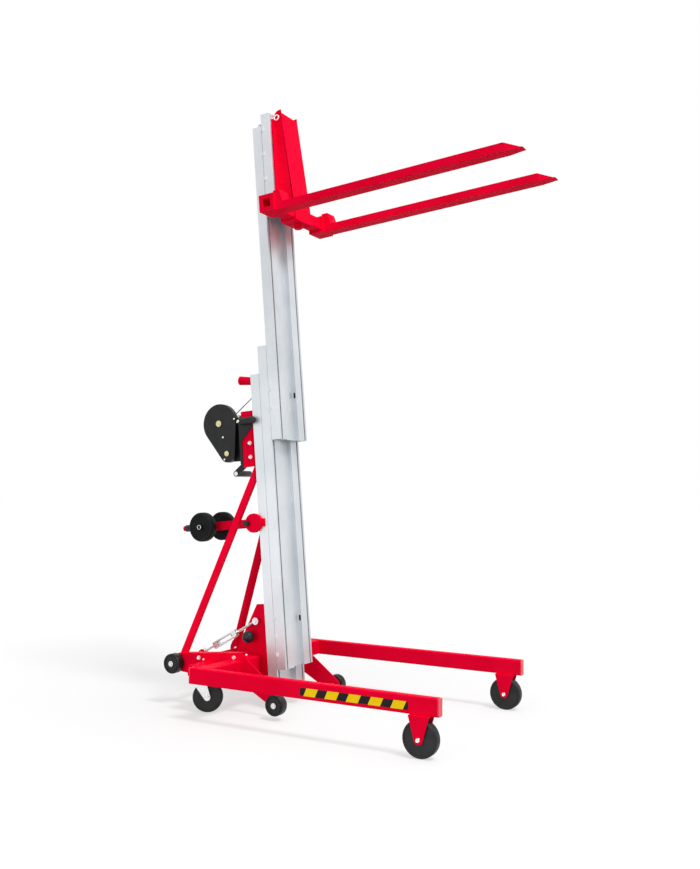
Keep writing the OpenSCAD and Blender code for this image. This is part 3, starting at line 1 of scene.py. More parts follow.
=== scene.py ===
"""Looks of a material hoist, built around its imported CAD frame.

Lengths are in metres. The mast frame's coordinates and the sizes of bolts, screws, wheels and other
turned forms are in millimetres, and so are the constants that go into them.
"""
import json
import math

import bmesh
import bpy
from mathutils import Matrix, Vector


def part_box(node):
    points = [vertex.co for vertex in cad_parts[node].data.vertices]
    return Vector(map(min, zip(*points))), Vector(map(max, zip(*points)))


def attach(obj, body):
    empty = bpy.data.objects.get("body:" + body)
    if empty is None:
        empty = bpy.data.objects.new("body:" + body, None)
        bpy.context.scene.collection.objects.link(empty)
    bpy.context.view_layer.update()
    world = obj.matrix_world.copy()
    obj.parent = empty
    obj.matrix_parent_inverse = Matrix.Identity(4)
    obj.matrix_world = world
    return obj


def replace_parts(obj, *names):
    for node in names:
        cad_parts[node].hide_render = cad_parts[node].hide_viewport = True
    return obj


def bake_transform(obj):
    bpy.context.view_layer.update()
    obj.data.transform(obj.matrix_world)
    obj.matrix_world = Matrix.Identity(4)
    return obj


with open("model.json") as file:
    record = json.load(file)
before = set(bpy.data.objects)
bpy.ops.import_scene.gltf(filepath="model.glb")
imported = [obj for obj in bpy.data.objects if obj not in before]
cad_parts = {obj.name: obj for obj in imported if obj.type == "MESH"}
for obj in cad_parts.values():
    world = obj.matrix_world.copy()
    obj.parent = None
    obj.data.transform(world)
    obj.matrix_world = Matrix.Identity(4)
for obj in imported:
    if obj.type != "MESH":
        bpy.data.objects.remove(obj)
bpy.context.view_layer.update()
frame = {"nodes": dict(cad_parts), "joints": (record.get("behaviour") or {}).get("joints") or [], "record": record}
nodes = frame["nodes"]
joints = {j["name"]: j for j in frame["joints"]}
MM = 0.001
TURN = 2 * math.pi

# The mast frame: d forward of the fixed section's back, y left, h up along the mast.
MAST_FOOT = Vector((-0.2685, 0, 0))
MAST_UP = Vector(joints["stage_2_lift"]["axis"]).normalized()
LEFT = Vector((0, 1, 0))
MAST_FORWARD = LEFT.cross(MAST_UP)
LEAN = math.atan2(-MAST_UP.x, MAST_UP.z)
SIDES = (-1, 1)


def mast(d, y, h):
    """A point of the mast frame, given in millimetres."""
    return MAST_FOOT + (MAST_FORWARD * d + LEFT * y + MAST_UP * h) * MM


# ---- Materials ----

def linear(hex_colour):
    """A colour written as sRGB hex, in linear light."""
    parts = [int(hex_colour[i:i + 2], 16) / 255 for i in (0, 2, 4)]
    return tuple(c / 12.92 if c <= 0.04045 else ((c + 0.055) / 1.055) ** 2.4 for c in parts) + (1.0,)


class Surface:
    """A Principled material with its own small set of texture nodes, in the metres of the row frame."""

    def __init__(self, name, metallic=0.0, coat=0.0, coat_roughness=0.1, specular=0.5):
        self.mat = bpy.data.materials.new(name)
        self.mat.use_nodes = True
        self.tree = self.mat.node_tree
        self.shader = self.tree.nodes["Principled BSDF"]
        self.shader.inputs["Metallic"].default_value = metallic
        self.shader.inputs["Coat Weight"].default_value = coat
        self.shader.inputs["Coat Roughness"].default_value = coat_roughness
        self.shader.inputs["Specular IOR Level"].default_value = specular
        self.coords = self.node("ShaderNodeTexCoord").outputs["Object"]

    def node(self, kind, **values):
        """A new node with constants on its inputs."""
        made = self.tree.nodes.new(kind)
        for socket, value in values.items():
            made.inputs[socket.replace("_", " ")].default_value = value
        return made

    def link(self, a, b):
        self.tree.links.new(a, b)

    def mapped(self, scale, rotation):
        """Coordinates turned and then stretched, so that the stretch follows the turned axes."""
        turn = self.node("ShaderNodeVectorRotate")
        turn.rotation_type = "EULER_XYZ"
        turn.inputs["Rotation"].default_value = rotation
        stretch = self.node("ShaderNodeVectorMath")
        stretch.operation = "MULTIPLY"
        stretch.inputs[1].default_value = scale
        self.link(self.coords, turn.inputs["Vector"])
        self.link(turn.outputs["Vector"], stretch.inputs[0])
        return stretch.outputs["Vector"]

    def noise(self, scale, detail=3.0, coords=None):
        tex = self.node("ShaderNodeTexNoise", Scale=scale, Detail=detail)
        self.link(coords or self.coords, tex.inputs["Vector"])
        return tex.outputs["Fac"]

    def voronoi(self, scale):
        tex = self.node("ShaderNodeTexVoronoi", Scale=scale)
        self.link(self.coords, tex.inputs["Vector"])
        return tex.outputs["Distance"]

    def colour(self, factor, low, high, start=0.35, end=0.65):
        """Base colour between two sRGB hex colours, as the factor goes from start to end."""
        ramp = self.node("ShaderNodeValToRGB")
        for element, position, hex_colour in zip(ramp.color_ramp.elements, (start, end), (low, high)):
            element.position = position
            element.color = linear(hex_colour)
        self.link(factor, ramp.inputs["Fac"])
        self.link(ramp.outputs["Color"], self.shader.inputs["Base Color"])

    def roughness(self, factor, low, high):
        spread = self.node("ShaderNodeMapRange", From_Min=0.3, From_Max=0.7, To_Min=low, To_Max=high)
        self.link(factor, spread.inputs["Value"])
        self.link(spread.outputs["Result"], self.shader.inputs["Roughness"])

    def bump(self, factor, strength, distance):
        relief = self.node("ShaderNodeBump", Strength=strength, Distance=distance)
        self.link(factor, relief.inputs["Height"])
        self.link(relief.outputs["Normal"], self.shader.inputs["Normal"])


def red_paint(name="red_powder_coat", specular=0.006, coat=0.0):
    s = Surface(name, specular=specular, coat=coat, coat_roughness=0.3)
    s.colour(s.noise(scale=7.0), "F20330", "FC0736")
    s.roughness(s.noise(scale=60.0), low=0.30, high=0.42)
    s.bump(s.noise(scale=700.0, detail=2.0), strength=0.06, distance=0.0004)
    return s.mat


def aluminium():
    """Anodised extrusion with fine lines along the mast."""
    s = Surface("anodised_aluminium", metallic=0.55, specular=0.4)
    lines = s.noise(scale=1.0, detail=4.0, coords=s.mapped((420.0, 420.0, 2.2), (0, LEAN, 0)))
    s.colour(s.noise(scale=5.0, detail=5.0), "D6DCE1", "E3E8EC")
    s.roughness(lines, low=0.30, high=0.46)
    s.bump(lines, strength=0.10, distance=0.0003)
    return s.mat


def zinc(name="bright_zinc", low="C9CBCD", high="E6E7E8"):
    s = Surface(name, metallic=1.0)
    s.colour(s.voronoi(scale=160.0), low, high, start=0.0, end=0.6)
    s.roughness(s.noise(scale=90.0), low=0.24, high=0.40)
    s.bump(s.noise(scale=500.0), strength=0.05, distance=0.0003)
    return s.mat


def black_plastic(name="black_plastic", low="17181A", high="222326", rough=(0.38, 0.52)):
    s = Surface(name, specular=0.3)
    s.colour(s.noise(scale=30.0), low, high)
    s.roughness(s.noise(scale=45.0), *rough)
    s.bump(s.noise(scale=1500.0, detail=2.0), strength=0.12, distance=0.0003)
    return s.mat


def rubber(name="hard_rubber", low="1D1E20", high="2A2B2D", specular=0.3):
    s = Surface(name, specular=specular)
    s.colour(s.noise(scale=22.0, detail=6.0), low, high)
    s.roughness(s.noise(scale=35.0), low=0.45, high=0.62)
    s.bump(s.noise(scale=900.0), strength=0.15, distance=0.0004)
    return s.mat


def wire_rope():
    s = Surface("galvanised_rope", metallic=1.0)
    s.colour(s.noise(scale=160.0), "8E9194", "C4C6C8")
    s.roughness(s.noise(scale=300.0), low=0.32, high=0.5)
    s.bump(s.noise(scale=2500.0), strength=0.2, distance=0.0002)
    return s.mat


def vinyl(name, low, high, specular=0.3):
    s = Surface(name, specular=specular)
    s.colour(s.noise(scale=40.0), low, high)
    s.roughness(s.noise(scale=80.0), low=0.34, high=0.44)
    s.bump(s.noise(scale=1200.0), strength=0.03, distance=0.0002)
    return s.mat


RED = red_paint()
RED_CAP = red_paint("red_cap_plastic", specular=0.5, coat=0.35)
ALUMINIUM = aluminium()
ZINC = zinc()
YELLOW_ZINC = zinc("yellow_zinc", "B9AE7A", "DAD3A6")
BLACK = black_plastic()
BLACK_STEEL = black_plastic("black_enamel", "121315", "1C1D1F", rough=(0.30, 0.42))
RUBBER = rubber()
# Dark rubber of the arm wheels and axle caps; the same finish is the painted shade in the oblong holes.
DARK_RUBBER_AND_SHADE = rubber("dark_rubber_and_hole_shade", "0C0D0E", "151617", specular=0.12)
NYLON = vinyl("pale_nylon", "EEF0F2", "F6F7F8")
ROPE = wire_rope()
LABEL_BLACK = vinyl("label_black", "1A1818", "242122", specular=0.10)
LABEL_YELLOW = vinyl("label_yellow", "FFD200", "FFDA14", specular=0.10)


# ---- Finish and edges of the CAD pieces ----

SLOT_MATERIALS = {
    "red_steel": RED, "aluminium": ALUMINIUM, "zinc_steel": ZINC, "cable_steel": ROPE,
    "black_steel": BLACK_STEEL, "black_plastic": BLACK, "black_rubber": RUBBER, "pale_plastic": NYLON,
}
# Nodes whose finish differs from the rest of their slot.
NODE_MATERIALS = {
    "right_arm_wheel": DARK_RUBBER_AND_SHADE, "left_arm_wheel": DARK_RUBBER_AND_SHADE,
    "drum": YELLOW_ZINC, "crank_shaft": YELLOW_ZINC,
    "leg_caps": RED_CAP, "clamp_knob": RED, "winch_cover": BLACK_STEEL,
    "rear_right_roller": BLACK_STEEL, "rear_left_roller": BLACK_STEEL,
    "mid_right_roller": BLACK_STEEL, "mid_left_roller": BLACK_STEEL,
}
# Rounding of the edges by slot, and for nodes that differ from it. The cable has none.
EDGE_RADIUS = {
    "red_steel": 0.0011, "aluminium": 0.0011, "zinc_steel": 0.0008, "black_steel": 0.0010,
    "black_plastic": 0.0012, "black_rubber": 0.0018, "pale_plastic": 0.0004,
}
NODE_EDGES = {"winch_cover": 0.0035, "right_front_wheel": 0.003, "left_front_wheel": 0.003}
WELD_GAP = 0.00001
FLAT_DEGREES, EDGE_DEGREES = 0.5, 40
EDGE_SEGMENTS = 2


def dress(node, slot_name):
    """Gives a CAD node its finish, joins the triangles of its flat faces and rounds its edges."""
    obj = nodes[node]
    obj.data.materials.clear()
    obj.data.materials.append(NODE_MATERIALS.get(node, SLOT_MATERIALS[slot_name]))
    radius = NODE_EDGES.get(node, EDGE_RADIUS.get(slot_name))
    if radius:
        weld = obj.modifiers.new("weld", "WELD")
        weld.merge_threshold = WELD_GAP
        flats = obj.modifiers.new("flats", "DECIMATE")
        flats.decimate_type = "DISSOLVE"
        flats.angle_limit = math.radians(FLAT_DEGREES)
        bevel = obj.modifiers.new("edge", "BEVEL")
        bevel.width = radius
        bevel.segments = EDGE_SEGMENTS
        bevel.limit_method = "ANGLE"
        bevel.angle_limit = math.radians(EDGE_DEGREES)
        bevel.harden_normals = True


for part in frame["record"]["subparts"]:
    dress(part["node"], part["material_slot"])


# ---- Building pieces ----

SHARP_DEGREES, FITTING_SHARP_DEGREES = 40.0, 30.0
ROUND, HEX = False, True


def add(name, bm, body, materials, sharp=SHARP_DEGREES):
    """Turns a bmesh into a piece that rides on a body, or on none yet."""
    mesh = bpy.data.meshes.new(name)
    bmesh.ops.recalc_face_normals(bm, faces=bm.faces)
    bm.to_mesh(mesh)
    bm.free()
    obj = bpy.data.objects.new(name, mesh)
    bpy.context.scene.collection.objects.link(obj)
    for mat in materials:
        mesh.materials.append(mat)
    for face in mesh.polygons:
        face.use_smooth = True
    mesh.set_sharp_from_angle(angle=math.radians(sharp))
    if body:
        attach(obj, body)
    return obj


def add_fitting(name, bm, body, material=ZINC):
    """A small piece of one material whose edges stay crisp."""
    return add(name, bm, body, [material], FITTING_SHARP_DEGREES)


def skin(bm, loops, caps=True):
    """Faces from each loop of vertices to the next, and over the first and the last loop."""
    for a, b in zip(loops, loops[1:]):
        for j in range(len(a)):
            k = (j + 1) % len(a)
            bm.faces.new((a[j], a[k], b[k], b[j]))
    if caps:
        bm.faces.new(loops[0])
        bm.faces.new(loops[-1])


def turned_form(bm, at, out, levels, sides):
    """A closed form along out. Each level is (radius, height, ROUND or HEX).

    A hexagon's radius is to its flats.
    """
    u = out.orthogonal().normalized()
    v = out.cross(u)
    loops = []
    for radius, height, hexagonal in levels:
        loop = []
        for j in range(sides):
            a = TURN * j / sides
            reach = radius / math.cos(a % (math.pi / 3) - math.pi / 6) if hexagonal else radius
            arm = (u * math.cos(a) + v * math.sin(a)) * reach
            loop.append(bm.verts.new(at + (out * height + arm) * MM))
        loops.append(loop)
    skin(bm, loops)


WASHER_THICK, WASHER_EDGE_H, WASHER_EDGE_W = 1.6, 0.4, 0.5
HEAD_SEAT = 0.9  # where the head begins, as a share of the washer's thickness
HEAD_STRAIGHT = 0.72  # share of the head's height below the chamfer
HEAD_TOP, DISH_RIM, DISH_FLOOR = 0.93, 0.80, 0.74  # shares of half the width across flats
DISH_DEPTH = 0.5
BOLT_SIDES, SHAFT_SIDES = 36, 24


def hex_bolt(bm, at, out, flats, head, washer=0.0):
    """A bolt head on its washer, seated at a point, with chamfered corners and a shallow dish."""
    thick = WASHER_THICK if washer else 0.0
    if washer:
        rim = washer - WASHER_EDGE_W
        turned_form(bm, at, out, [(rim, 0, ROUND), (washer, WASHER_EDGE_H, ROUND),
                                  (washer, thick - WASHER_EDGE_H, ROUND), (rim, thick, ROUND)], BOLT_SIDES)
    half = flats / 2
    top = thick + head
    turned_form(bm, at, out, [(half, thick * HEAD_SEAT, HEX), (half, thick + head * HEAD_STRAIGHT, HEX),
                              (half * HEAD_TOP, top, ROUND), (half * DISH_RIM, top, ROUND),
                              (half * DISH_FLOOR, top - DISH_DEPTH, ROUND)], BOLT_SIDES)


def shaft(bm, a, b, radius):
    way = (b - a).normalized()
    turned_form(bm, a, way, [(radius, 0, ROUND), (radius, (b - a).length / MM, ROUND)], SHAFT_SIDES)


DOME_PROFILE = ((1.0, 0.0), (1.0, 0.4), (0.8, 0.8), (0.4, 1.0))  # shares of the radius and of the height
DOME_SIDES = 20


def dome(bm, at, out, radius, height):
    """A round screw head."""
    turned_form(bm, at, out, [(radius * r, height * h, ROUND) for r, h in DOME_PROFILE], DOME_SIDES)


BEAD_STEPS, BEAD_SIDES = 72, 8


def bead(bm, at, axis, radius, tube):
    """A thin round ring about an axis. Metres."""
    u = axis.orthogonal().normalized()
    v = axis.cross(u)
    loops = []
    for i in range(BEAD_STEPS):
        a = TURN * i / BEAD_STEPS
        out = u * math.cos(a) + v * math.sin(a)
        loops.append([bm.verts.new(at + out * radius + (out * math.cos(b) + axis * math.sin(b)) * tube)
                      for b in (TURN * j / BEAD_SIDES for j in range(BEAD_SIDES))])
    skin(bm, loops + loops[:1], caps=False)


# ---- Bolts of the frame and the axles, in place of their plain solids ----

SIDE_OUT, SIDE_IN = 203.0, 197.0
SIDE_BOLTS = ((-254.1, 216.0), (-83.5, 216.0))
BRACKET_OUT, BRACKET_IN = 96.0, 86.0
BRACKET_BOLTS = ((-24.6, 992.0), (-24.6, 1048.4))
BOLT_R, BOLT_FLATS, BOLT_HEAD, BOLT_WASHER = 4.0, 12.5, 4.2, 8.3
BUCKLE_Y, BUCKLE_PIN_R = -80.0, 6.0
BUCKLE_FRONT, BUCKLE_REAR = (-58.0, 341.0), (-327.0, 218.5)
GUSSET_IN, GUSSET_OUT = 57.0, 63.0
EYE_HALF, LUG_OUT = 5.2, 11.5


def frame_bolts():
    bm = bmesh.new()
    for side in SIDES:
        out = LEFT * side
        for d, h in SIDE_BOLTS:
            hex_bolt(bm, mast(d, side * SIDE_OUT, h), out, BOLT_FLATS, BOLT_HEAD, BOLT_WASHER)
            shaft(bm, mast(d, side * SIDE_IN, h), mast(d, side * SIDE_OUT, h), BOLT_R)
        for d, h in BRACKET_BOLTS:
            hex_bolt(bm, mast(d, side * BRACKET_OUT, h), out, BOLT_FLATS, BOLT_HEAD, BOLT_WASHER)
            hex_bolt(bm, mast(d, side * BRACKET_IN, h), -out, BOLT_FLATS, BOLT_HEAD)
            shaft(bm, mast(d, side * BRACKET_IN, h), mast(d, side * BRACKET_OUT, h), BOLT_R)
    d, h = BUCKLE_FRONT
    hex_bolt(bm, mast(d, BUCKLE_Y - EYE_HALF, h), -LEFT, BOLT_FLATS, BOLT_HEAD)
    hex_bolt(bm, mast(d, -GUSSET_IN, h), LEFT, BOLT_FLATS, BOLT_HEAD)
    shaft(bm, mast(d, BUCKLE_Y - EYE_HALF, h), mast(d, -GUSSET_IN, h), BUCKLE_PIN_R)
    shaft(bm, mast(d, BUCKLE_Y + EYE_HALF, h), mast(d, -GUSSET_OUT, h), BOLT_FLATS / 2)
    d, h = BUCKLE_REAR
    for side in SIDES:
        hex_bolt(bm, mast(d, BUCKLE_Y + side * LUG_OUT, h), LEFT * side, BOLT_FLATS, BOLT_HEAD)
    shaft(bm, mast(d, BUCKLE_Y - LUG_OUT, h), mast(d, BUCKLE_Y + LUG_OUT, h), BUCKLE_PIN_R)
    return add_fitting("frame_bolts_hex", bm, "base")


FRONT_AXLE_X, FRONT_AXLE_Y, FRONT_AXLE_Z = 0.513, 0.399, 0.0625
FORK_OUT = 24.0
AXLE_R, AXLE_FLATS, AXLE_HEAD = 6.0, 14.5, 5.5
ROLLERS = ((-363.0, 197.0), (112.0, 46.0))
ROLLER_END, ROLLER_HEAD, ROLLER_WASHER = 243.2, AXLE_HEAD - WASHER_THICK, 11.0
SHEAVE_D, SHEAVE_H = 32.5, 1287.0
SHEAVE_PIN_HALF, SHEAVE_PIN_R = 42.0, 5.0
IDLER_D, IDLER_H = -152.3, 1053.7
IDLER_PIN_IN, IDLER_PIN_OUT, IDLER_PIN_R = 62.0, 75.5, 5.0


def axle_bolts():
    bm = bmesh.new()
    for side in SIDES:
        out = LEFT * side
        hub = Vector((FRONT_AXLE_X, side * FRONT_AXLE_Y, FRONT_AXLE_Z))
        for end in SIDES:
            hex_bolt(bm, hub + LEFT * end * FORK_OUT * MM, LEFT * end, AXLE_FLATS, AXLE_HEAD)
        shaft(bm, hub - LEFT * FORK_OUT * MM, hub + LEFT * FORK_OUT * MM, AXLE_R)
        for d, h in ROLLERS:
            hex_bolt(bm, mast(d, side * ROLLER_END, h), out, AXLE_FLATS, ROLLER_HEAD, ROLLER_WASHER)
            hex_bolt(bm, mast(d, side * SIDE_IN, h), -out, AXLE_FLATS, AXLE_HEAD)
            shaft(bm, mast(d, side * SIDE_IN, h), mast(d, side * ROLLER_END, h), AXLE_R)
    shaft(bm, mast(SHEAVE_D, -SHEAVE_PIN_HALF, SHEAVE_H), mast(SHEAVE_D, SHEAVE_PIN_HALF, SHEAVE_H),
          SHEAVE_PIN_R)
    shaft(bm, mast(IDLER_D, -IDLER_PIN_OUT, IDLER_H), mast(IDLER_D, -IDLER_PIN_IN, IDLER_H), IDLER_PIN_R)
    return add_fitting("axle_bolts_hex", bm, "base")


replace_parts(frame_bolts(), "frame_bolts")
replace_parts(axle_bolts(), "axle_bolts")


# ---- Small fittings ----

COVER_FACE = 88.0
COVER_SCREWS = ((-100.0, 1155.0), (-161.0, 1086.0), (-159.0, 995.0))
COVER_SCREW_R, COVER_SCREW_H = 4.2, 2.4
PLATE_SCREWS = ((-231.0, 209.0), (-25.0, 227.0))
PLATE_SCREW_R, PLATE_SCREW_H = 4.5, 2.8


def small_screws():
    """Screws on the winch cover and on the side plates."""
    bm = bmesh.new()
    for d, h in COVER_SCREWS:
        dome(bm, mast(d, -COVER_FACE, h), -LEFT, COVER_SCREW_R, COVER_SCREW_H)
    for side in SIDES:
        for d, h in PLATE_SCREWS:
            dome(bm, mast(d, side * SIDE_OUT, h), LEFT * side, PLATE_SCREW_R, PLATE_SCREW_H)
    add_fitting("small_screws", bm, "base")


LEVER_END = (-52.0, -128.6, 1137.0)
LEVER_NUT_FLATS, LEVER_NUT_H = 11.0, 3.2


def lever_nut():
    bm = bmesh.new()
    hex_bolt(bm, mast(*LEVER_END), -LEFT, LEVER_NUT_FLATS, LEVER_NUT_H)
    add_fitting("lever_nut", bm, "winch_lever")


GRIP_PIN_Y = 0.1025
GRIP_PIN_LEVELS = ((9.0, 0, ROUND), (9.0, 0.3, ROUND), (8.5, 0.5, ROUND))


def grip_pin_end():
    """The flat end of the crank grip's pin on the inner face of the crank arm."""
    x, _, z = joints["crank_grip_spin"]["pos_m"]
    bm = bmesh.new()
    turned_form(bm, Vector((x, GRIP_PIN_Y, z)), -LEFT, GRIP_PIN_LEVELS, BOLT_SIDES)
    add_fitting("grip_pin_end", bm, "crank")


WALL_Y = 62.0
WALL_SCREWS = ((186.0, 2288.0), (189.0, 2189.0), (189.0, 2082.0))
WALL_SCREW_R, WALL_SCREW_H = 5.0, 2.6


def carriage_screws():
    """Painted screws on the side walls of the carriage plate."""
    bm = bmesh.new()
    for side in SIDES:
        for d, h in WALL_SCREWS:
            dome(bm, mast(d, side * WALL_Y, h), LEFT * side, WALL_SCREW_R, WALL_SCREW_H)
    add_fitting("carriage_screws", bm, "carriage", RED)


# Places of the painted shade in the oblong holes: d and h in the mast frame, in millimetres.
HOLE_SHADE_PLACES = {"stage_2": (74.5, 339.0), "stage_3": (116.5, 1234.0)}
HOLE_SHADE_R, HOLE_SHADE_HALF_STRAIGHT = 4.4, 7.4
HOLE_SHADE_IN, HOLE_SHADE_OUT = 39.0, 41.0
HOLE_SHADE_POINTS = 24


def oblong_hole_shade(name, body, d, h):
    """Dark plates in the oblong holes of a section's recess walls, a little behind the walls' faces: painted shade
    standing for the shadow inside the holes.
    """
    bm = bmesh.new()
    for side in SIDES:
        loops = []
        for y in (HOLE_SHADE_IN, HOLE_SHADE_OUT):
            loop = []
            for j in range(HOLE_SHADE_POINTS):
                a = TURN * j / HOLE_SHADE_POINTS
                lift = HOLE_SHADE_HALF_STRAIGHT if j < HOLE_SHADE_POINTS // 2 else -HOLE_SHADE_HALF_STRAIGHT
                point = mast(d + HOLE_SHADE_R * math.cos(a), side * y, h + lift + HOLE_SHADE_R * math.sin(a))
                loop.append(bm.verts.new(point))
            loops.append(loop)
        skin(bm, loops)
    # The dark rubber finish gives these plates the look of shade in the holes.
    add(name, bm, body, [DARK_RUBBER_AND_SHADE])


# Each wheel's and roller's outer radius, half width, and its ring's radius as a share of the outer one.
FRONT_WHEEL, CASTER_WHEEL, ARM_WHEEL = (62.5, 17.0, 0.89), (58.0, 15.0, 0.89), (60.0, 18.0, 0.89)
ROLLER = (39.0, 18.0, 0.76)
RING_TUBE, RING_SINK = 0.0011, 0.0005


def wheel_rings(wheel, outer, half, share):
    """A moulding ring on both faces of a wheel."""
    low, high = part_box(wheel)
    axis = Vector(joints[wheel + "_spin"]["axis"]).normalized()
    bm = bmesh.new()
    for side in SIDES:
        face = (low + high) / 2 + axis * side * (half * MM - RING_SINK)
        bead(bm, face, axis, outer * share * MM, RING_TUBE)
    add(wheel + "_ring", bm, wheel, [RUBBER])


ARM_AXLE_END = 93.2
CAP_R, CAP_FACE_R, CAP_MIDDLE_R = 12.5, 10.5, 4.0
CAP_SKIRT, CAP_THICK = 5.0, 1.5
CAP_LEVELS = ((CAP_R, -CAP_SKIRT, ROUND), (CAP_R, 0, ROUND),
              (CAP_FACE_R, CAP_THICK, ROUND), (CAP_MIDDLE_R, CAP_THICK, ROUND))
CLIP_R, CLIP_TUBE = 0.0085, 0.0012


def arm_axle_ends():
    """A dark cap with a spring clip on each end of the transport arm's axle."""
    x, _, z = joints["right_arm_wheel_spin"]["pos_m"]
    caps, clips = bmesh.new(), bmesh.new()
    for side in SIDES:
        end = Vector((x, side * ARM_AXLE_END * MM, z))
        turned_form(caps, end, LEFT * side, CAP_LEVELS, BOLT_SIDES)
        bead(clips, end + LEFT * side * CAP_THICK * MM, LEFT, CLIP_R, CLIP_TUBE)
    add_fitting("arm_axle_caps", caps, "transport_arm", DARK_RUBBER_AND_SHADE)
    add("arm_axle_clips", clips, "transport_arm", [ZINC])


small_screws()
lever_nut()
grip_pin_end()
carriage_screws()
# Painted shade in the oblong holes of the second and third sections.
for section, place in HOLE_SHADE_PLACES.items():
    oblong_hole_shade(section + "_hole_shade", section, *place)
for hand in ("right", "left"):
    wheel_rings(hand + "_front_wheel", *FRONT_WHEEL)
    wheel_rings(hand + "_caster_wheel", *CASTER_WHEEL)
    wheel_rings(hand + "_arm_wheel", *ARM_WHEEL)
    wheel_rings("rear_" + hand + "_roller", *ROLLER)
    wheel_rings("mid_" + hand + "_roller", *ROLLER)
arm_axle_ends()


# ---- Hazard label on the outer face of each leg ----

LABEL_START, LABEL_END = 0.060, 0.473
LABEL_LOW, LABEL_HIGH = 0.1515, 0.1785
LABEL_CORNER, LABEL_CORNER_STEPS = 0.006, 5
LABEL_THICK, STRIPE_THICK = 0.0003, 0.00015
LABEL_REAR_MARGIN, LABEL_FRONT_MARGIN = 0.014, 0.019
STRIPES = 5
STRIPE_SHARE = 0.55
STRIPE_SLANT = 0.012


def prism(bm, outline, y, thick, index):
    """A flat plate with the outline in x and z, its face at y + thick."""
    low = [bm.verts.new((x, y, z)) for x, z in outline]
    high = [bm.verts.new((x, y + thick, z)) for x, z in outline]
    faces = [bm.faces.new(low), bm.faces.new(high)]
    for i in range(len(outline)):
        k = (i + 1) % len(outline)
        faces.append(bm.faces.new((low[i], low[k], high[k], high[i])))
    for face in faces:
        face.material_index = index


def rounded(x0, x1, z0, z1, r, steps):
    """The outline of a rectangle with round corners."""
    corners = ((x1 - r, z1 - r, 0), (x0 + r, z1 - r, 90), (x0 + r, z0 + r, 180), (x1 - r, z0 + r, 270))
    points = []
    for cx, cz, start in corners:
        for i in range(steps + 1):
            a = math.radians(start + 90 * i / steps)
            points.append((cx + r * math.cos(a), cz + r * math.sin(a)))
    return points


def hazard_label(name, node, side):
    low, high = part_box(node)
    face_y = high.y if side > 0 else low.y
    bm = bmesh.new()
    plate = rounded(LABEL_START, LABEL_END, LABEL_LOW, LABEL_HIGH, LABEL_CORNER, LABEL_CORNER_STEPS)
    prism(bm, plate, face_y, side * LABEL_THICK, 0)
    striped = LABEL_END - LABEL_START - LABEL_REAR_MARGIN - LABEL_FRONT_MARGIN
    period = striped / (STRIPES - 1 + STRIPE_SHARE)
    for i in range(STRIPES):
        x0 = LABEL_START + LABEL_REAR_MARGIN + i * period
        x1 = x0 + period * STRIPE_SHARE
        stripe = [(x0, LABEL_LOW), (x1, LABEL_LOW),
                  (x1 + STRIPE_SLANT, LABEL_HIGH), (x0 + STRIPE_SLANT, LABEL_HIGH)]
        prism(bm, stripe, face_y + side * LABEL_THICK, side * STRIPE_THICK, 1)
    add(name, bm, "base", [LABEL_BLACK, LABEL_YELLOW])


hazard_label("right_hazard_label", "right_leg", -1)
hazard_label("left_hazard_label", "left_leg", 1)


# ---- Cable: the winding on the drum and the run over the sheave ----

CABLE_R, CABLE_LAY = 2.5, 0.034
STRANDS, STRAND_DEPTH = 6, 0.20
CABLE_SIDES = 24
DRUM_BACK, DRUM_H = 175.0, 1143.0
LOOP_R, LOOP_PITCH, LOOPS = 33.0, 5.8, 17
STEPS_PER_LOOP = 72
RUN_R, LEAVE_Y = 39.0, 30.0
GROOVE_R = 18.5
BEND_STEPS, RUN_STEP = 30, 0.004
CABLE_END_H = 154.5
SLEEVE_LOW, SLEEVE_HIGH, SLEEVE_R, SLEEVE_SIDES = 144.5, 155.0, 0.005, 24


def rope(bm, path, turned=0.0):
    """A stranded rope along a path: lobed rings that turn once per lay length.

    Gives the last ring's turn, from which another rope can go on.
    """
    loops = []
    for i, point in enumerate(path):
        ahead = path[min(i + 1, len(path) - 1)]
        behind = path[max(i - 1, 0)]
        way = (ahead - behind).normalized()
        side = way.cross(LEFT).normalized()
        other = way.cross(side)
        if i:
            turned += (point - path[i - 1]).length / CABLE_LAY * TURN
        loop = []
        for j in range(CABLE_SIDES):
            angle = TURN * j / CABLE_SIDES
            reach = CABLE_R * MM * (1 - STRAND_DEPTH + STRAND_DEPTH * abs(math.cos(STRANDS * angle / 2)))
            turn = angle + turned
            loop.append(bm.verts.new(point + (side * math.cos(turn) + other * math.sin(turn)) * reach))
        loops.append(loop)
    skin(bm, loops)
    return turned


def winding_path():
    half = LOOPS * LOOP_PITCH / 2
    points = []
    for i in range(LOOPS * STEPS_PER_LOOP + 1):
        a = TURN * i / STEPS_PER_LOOP
        points.append(mast(LOOP_R * math.cos(a) - DRUM_BACK, half - i * LOOP_PITCH / STEPS_PER_LOOP,
                           DRUM_H + LOOP_R * math.sin(a)))
    return points


def straight(a, b):
    count = max(2, int((b - a).length / RUN_STEP))
    return [a.lerp(b, i / count) for i in range(count + 1)]


def on_drop(h):
    """A point of the cable's drop from the front of the sheave."""
    return mast(SHEAVE_D + GROOVE_R, 0, h)


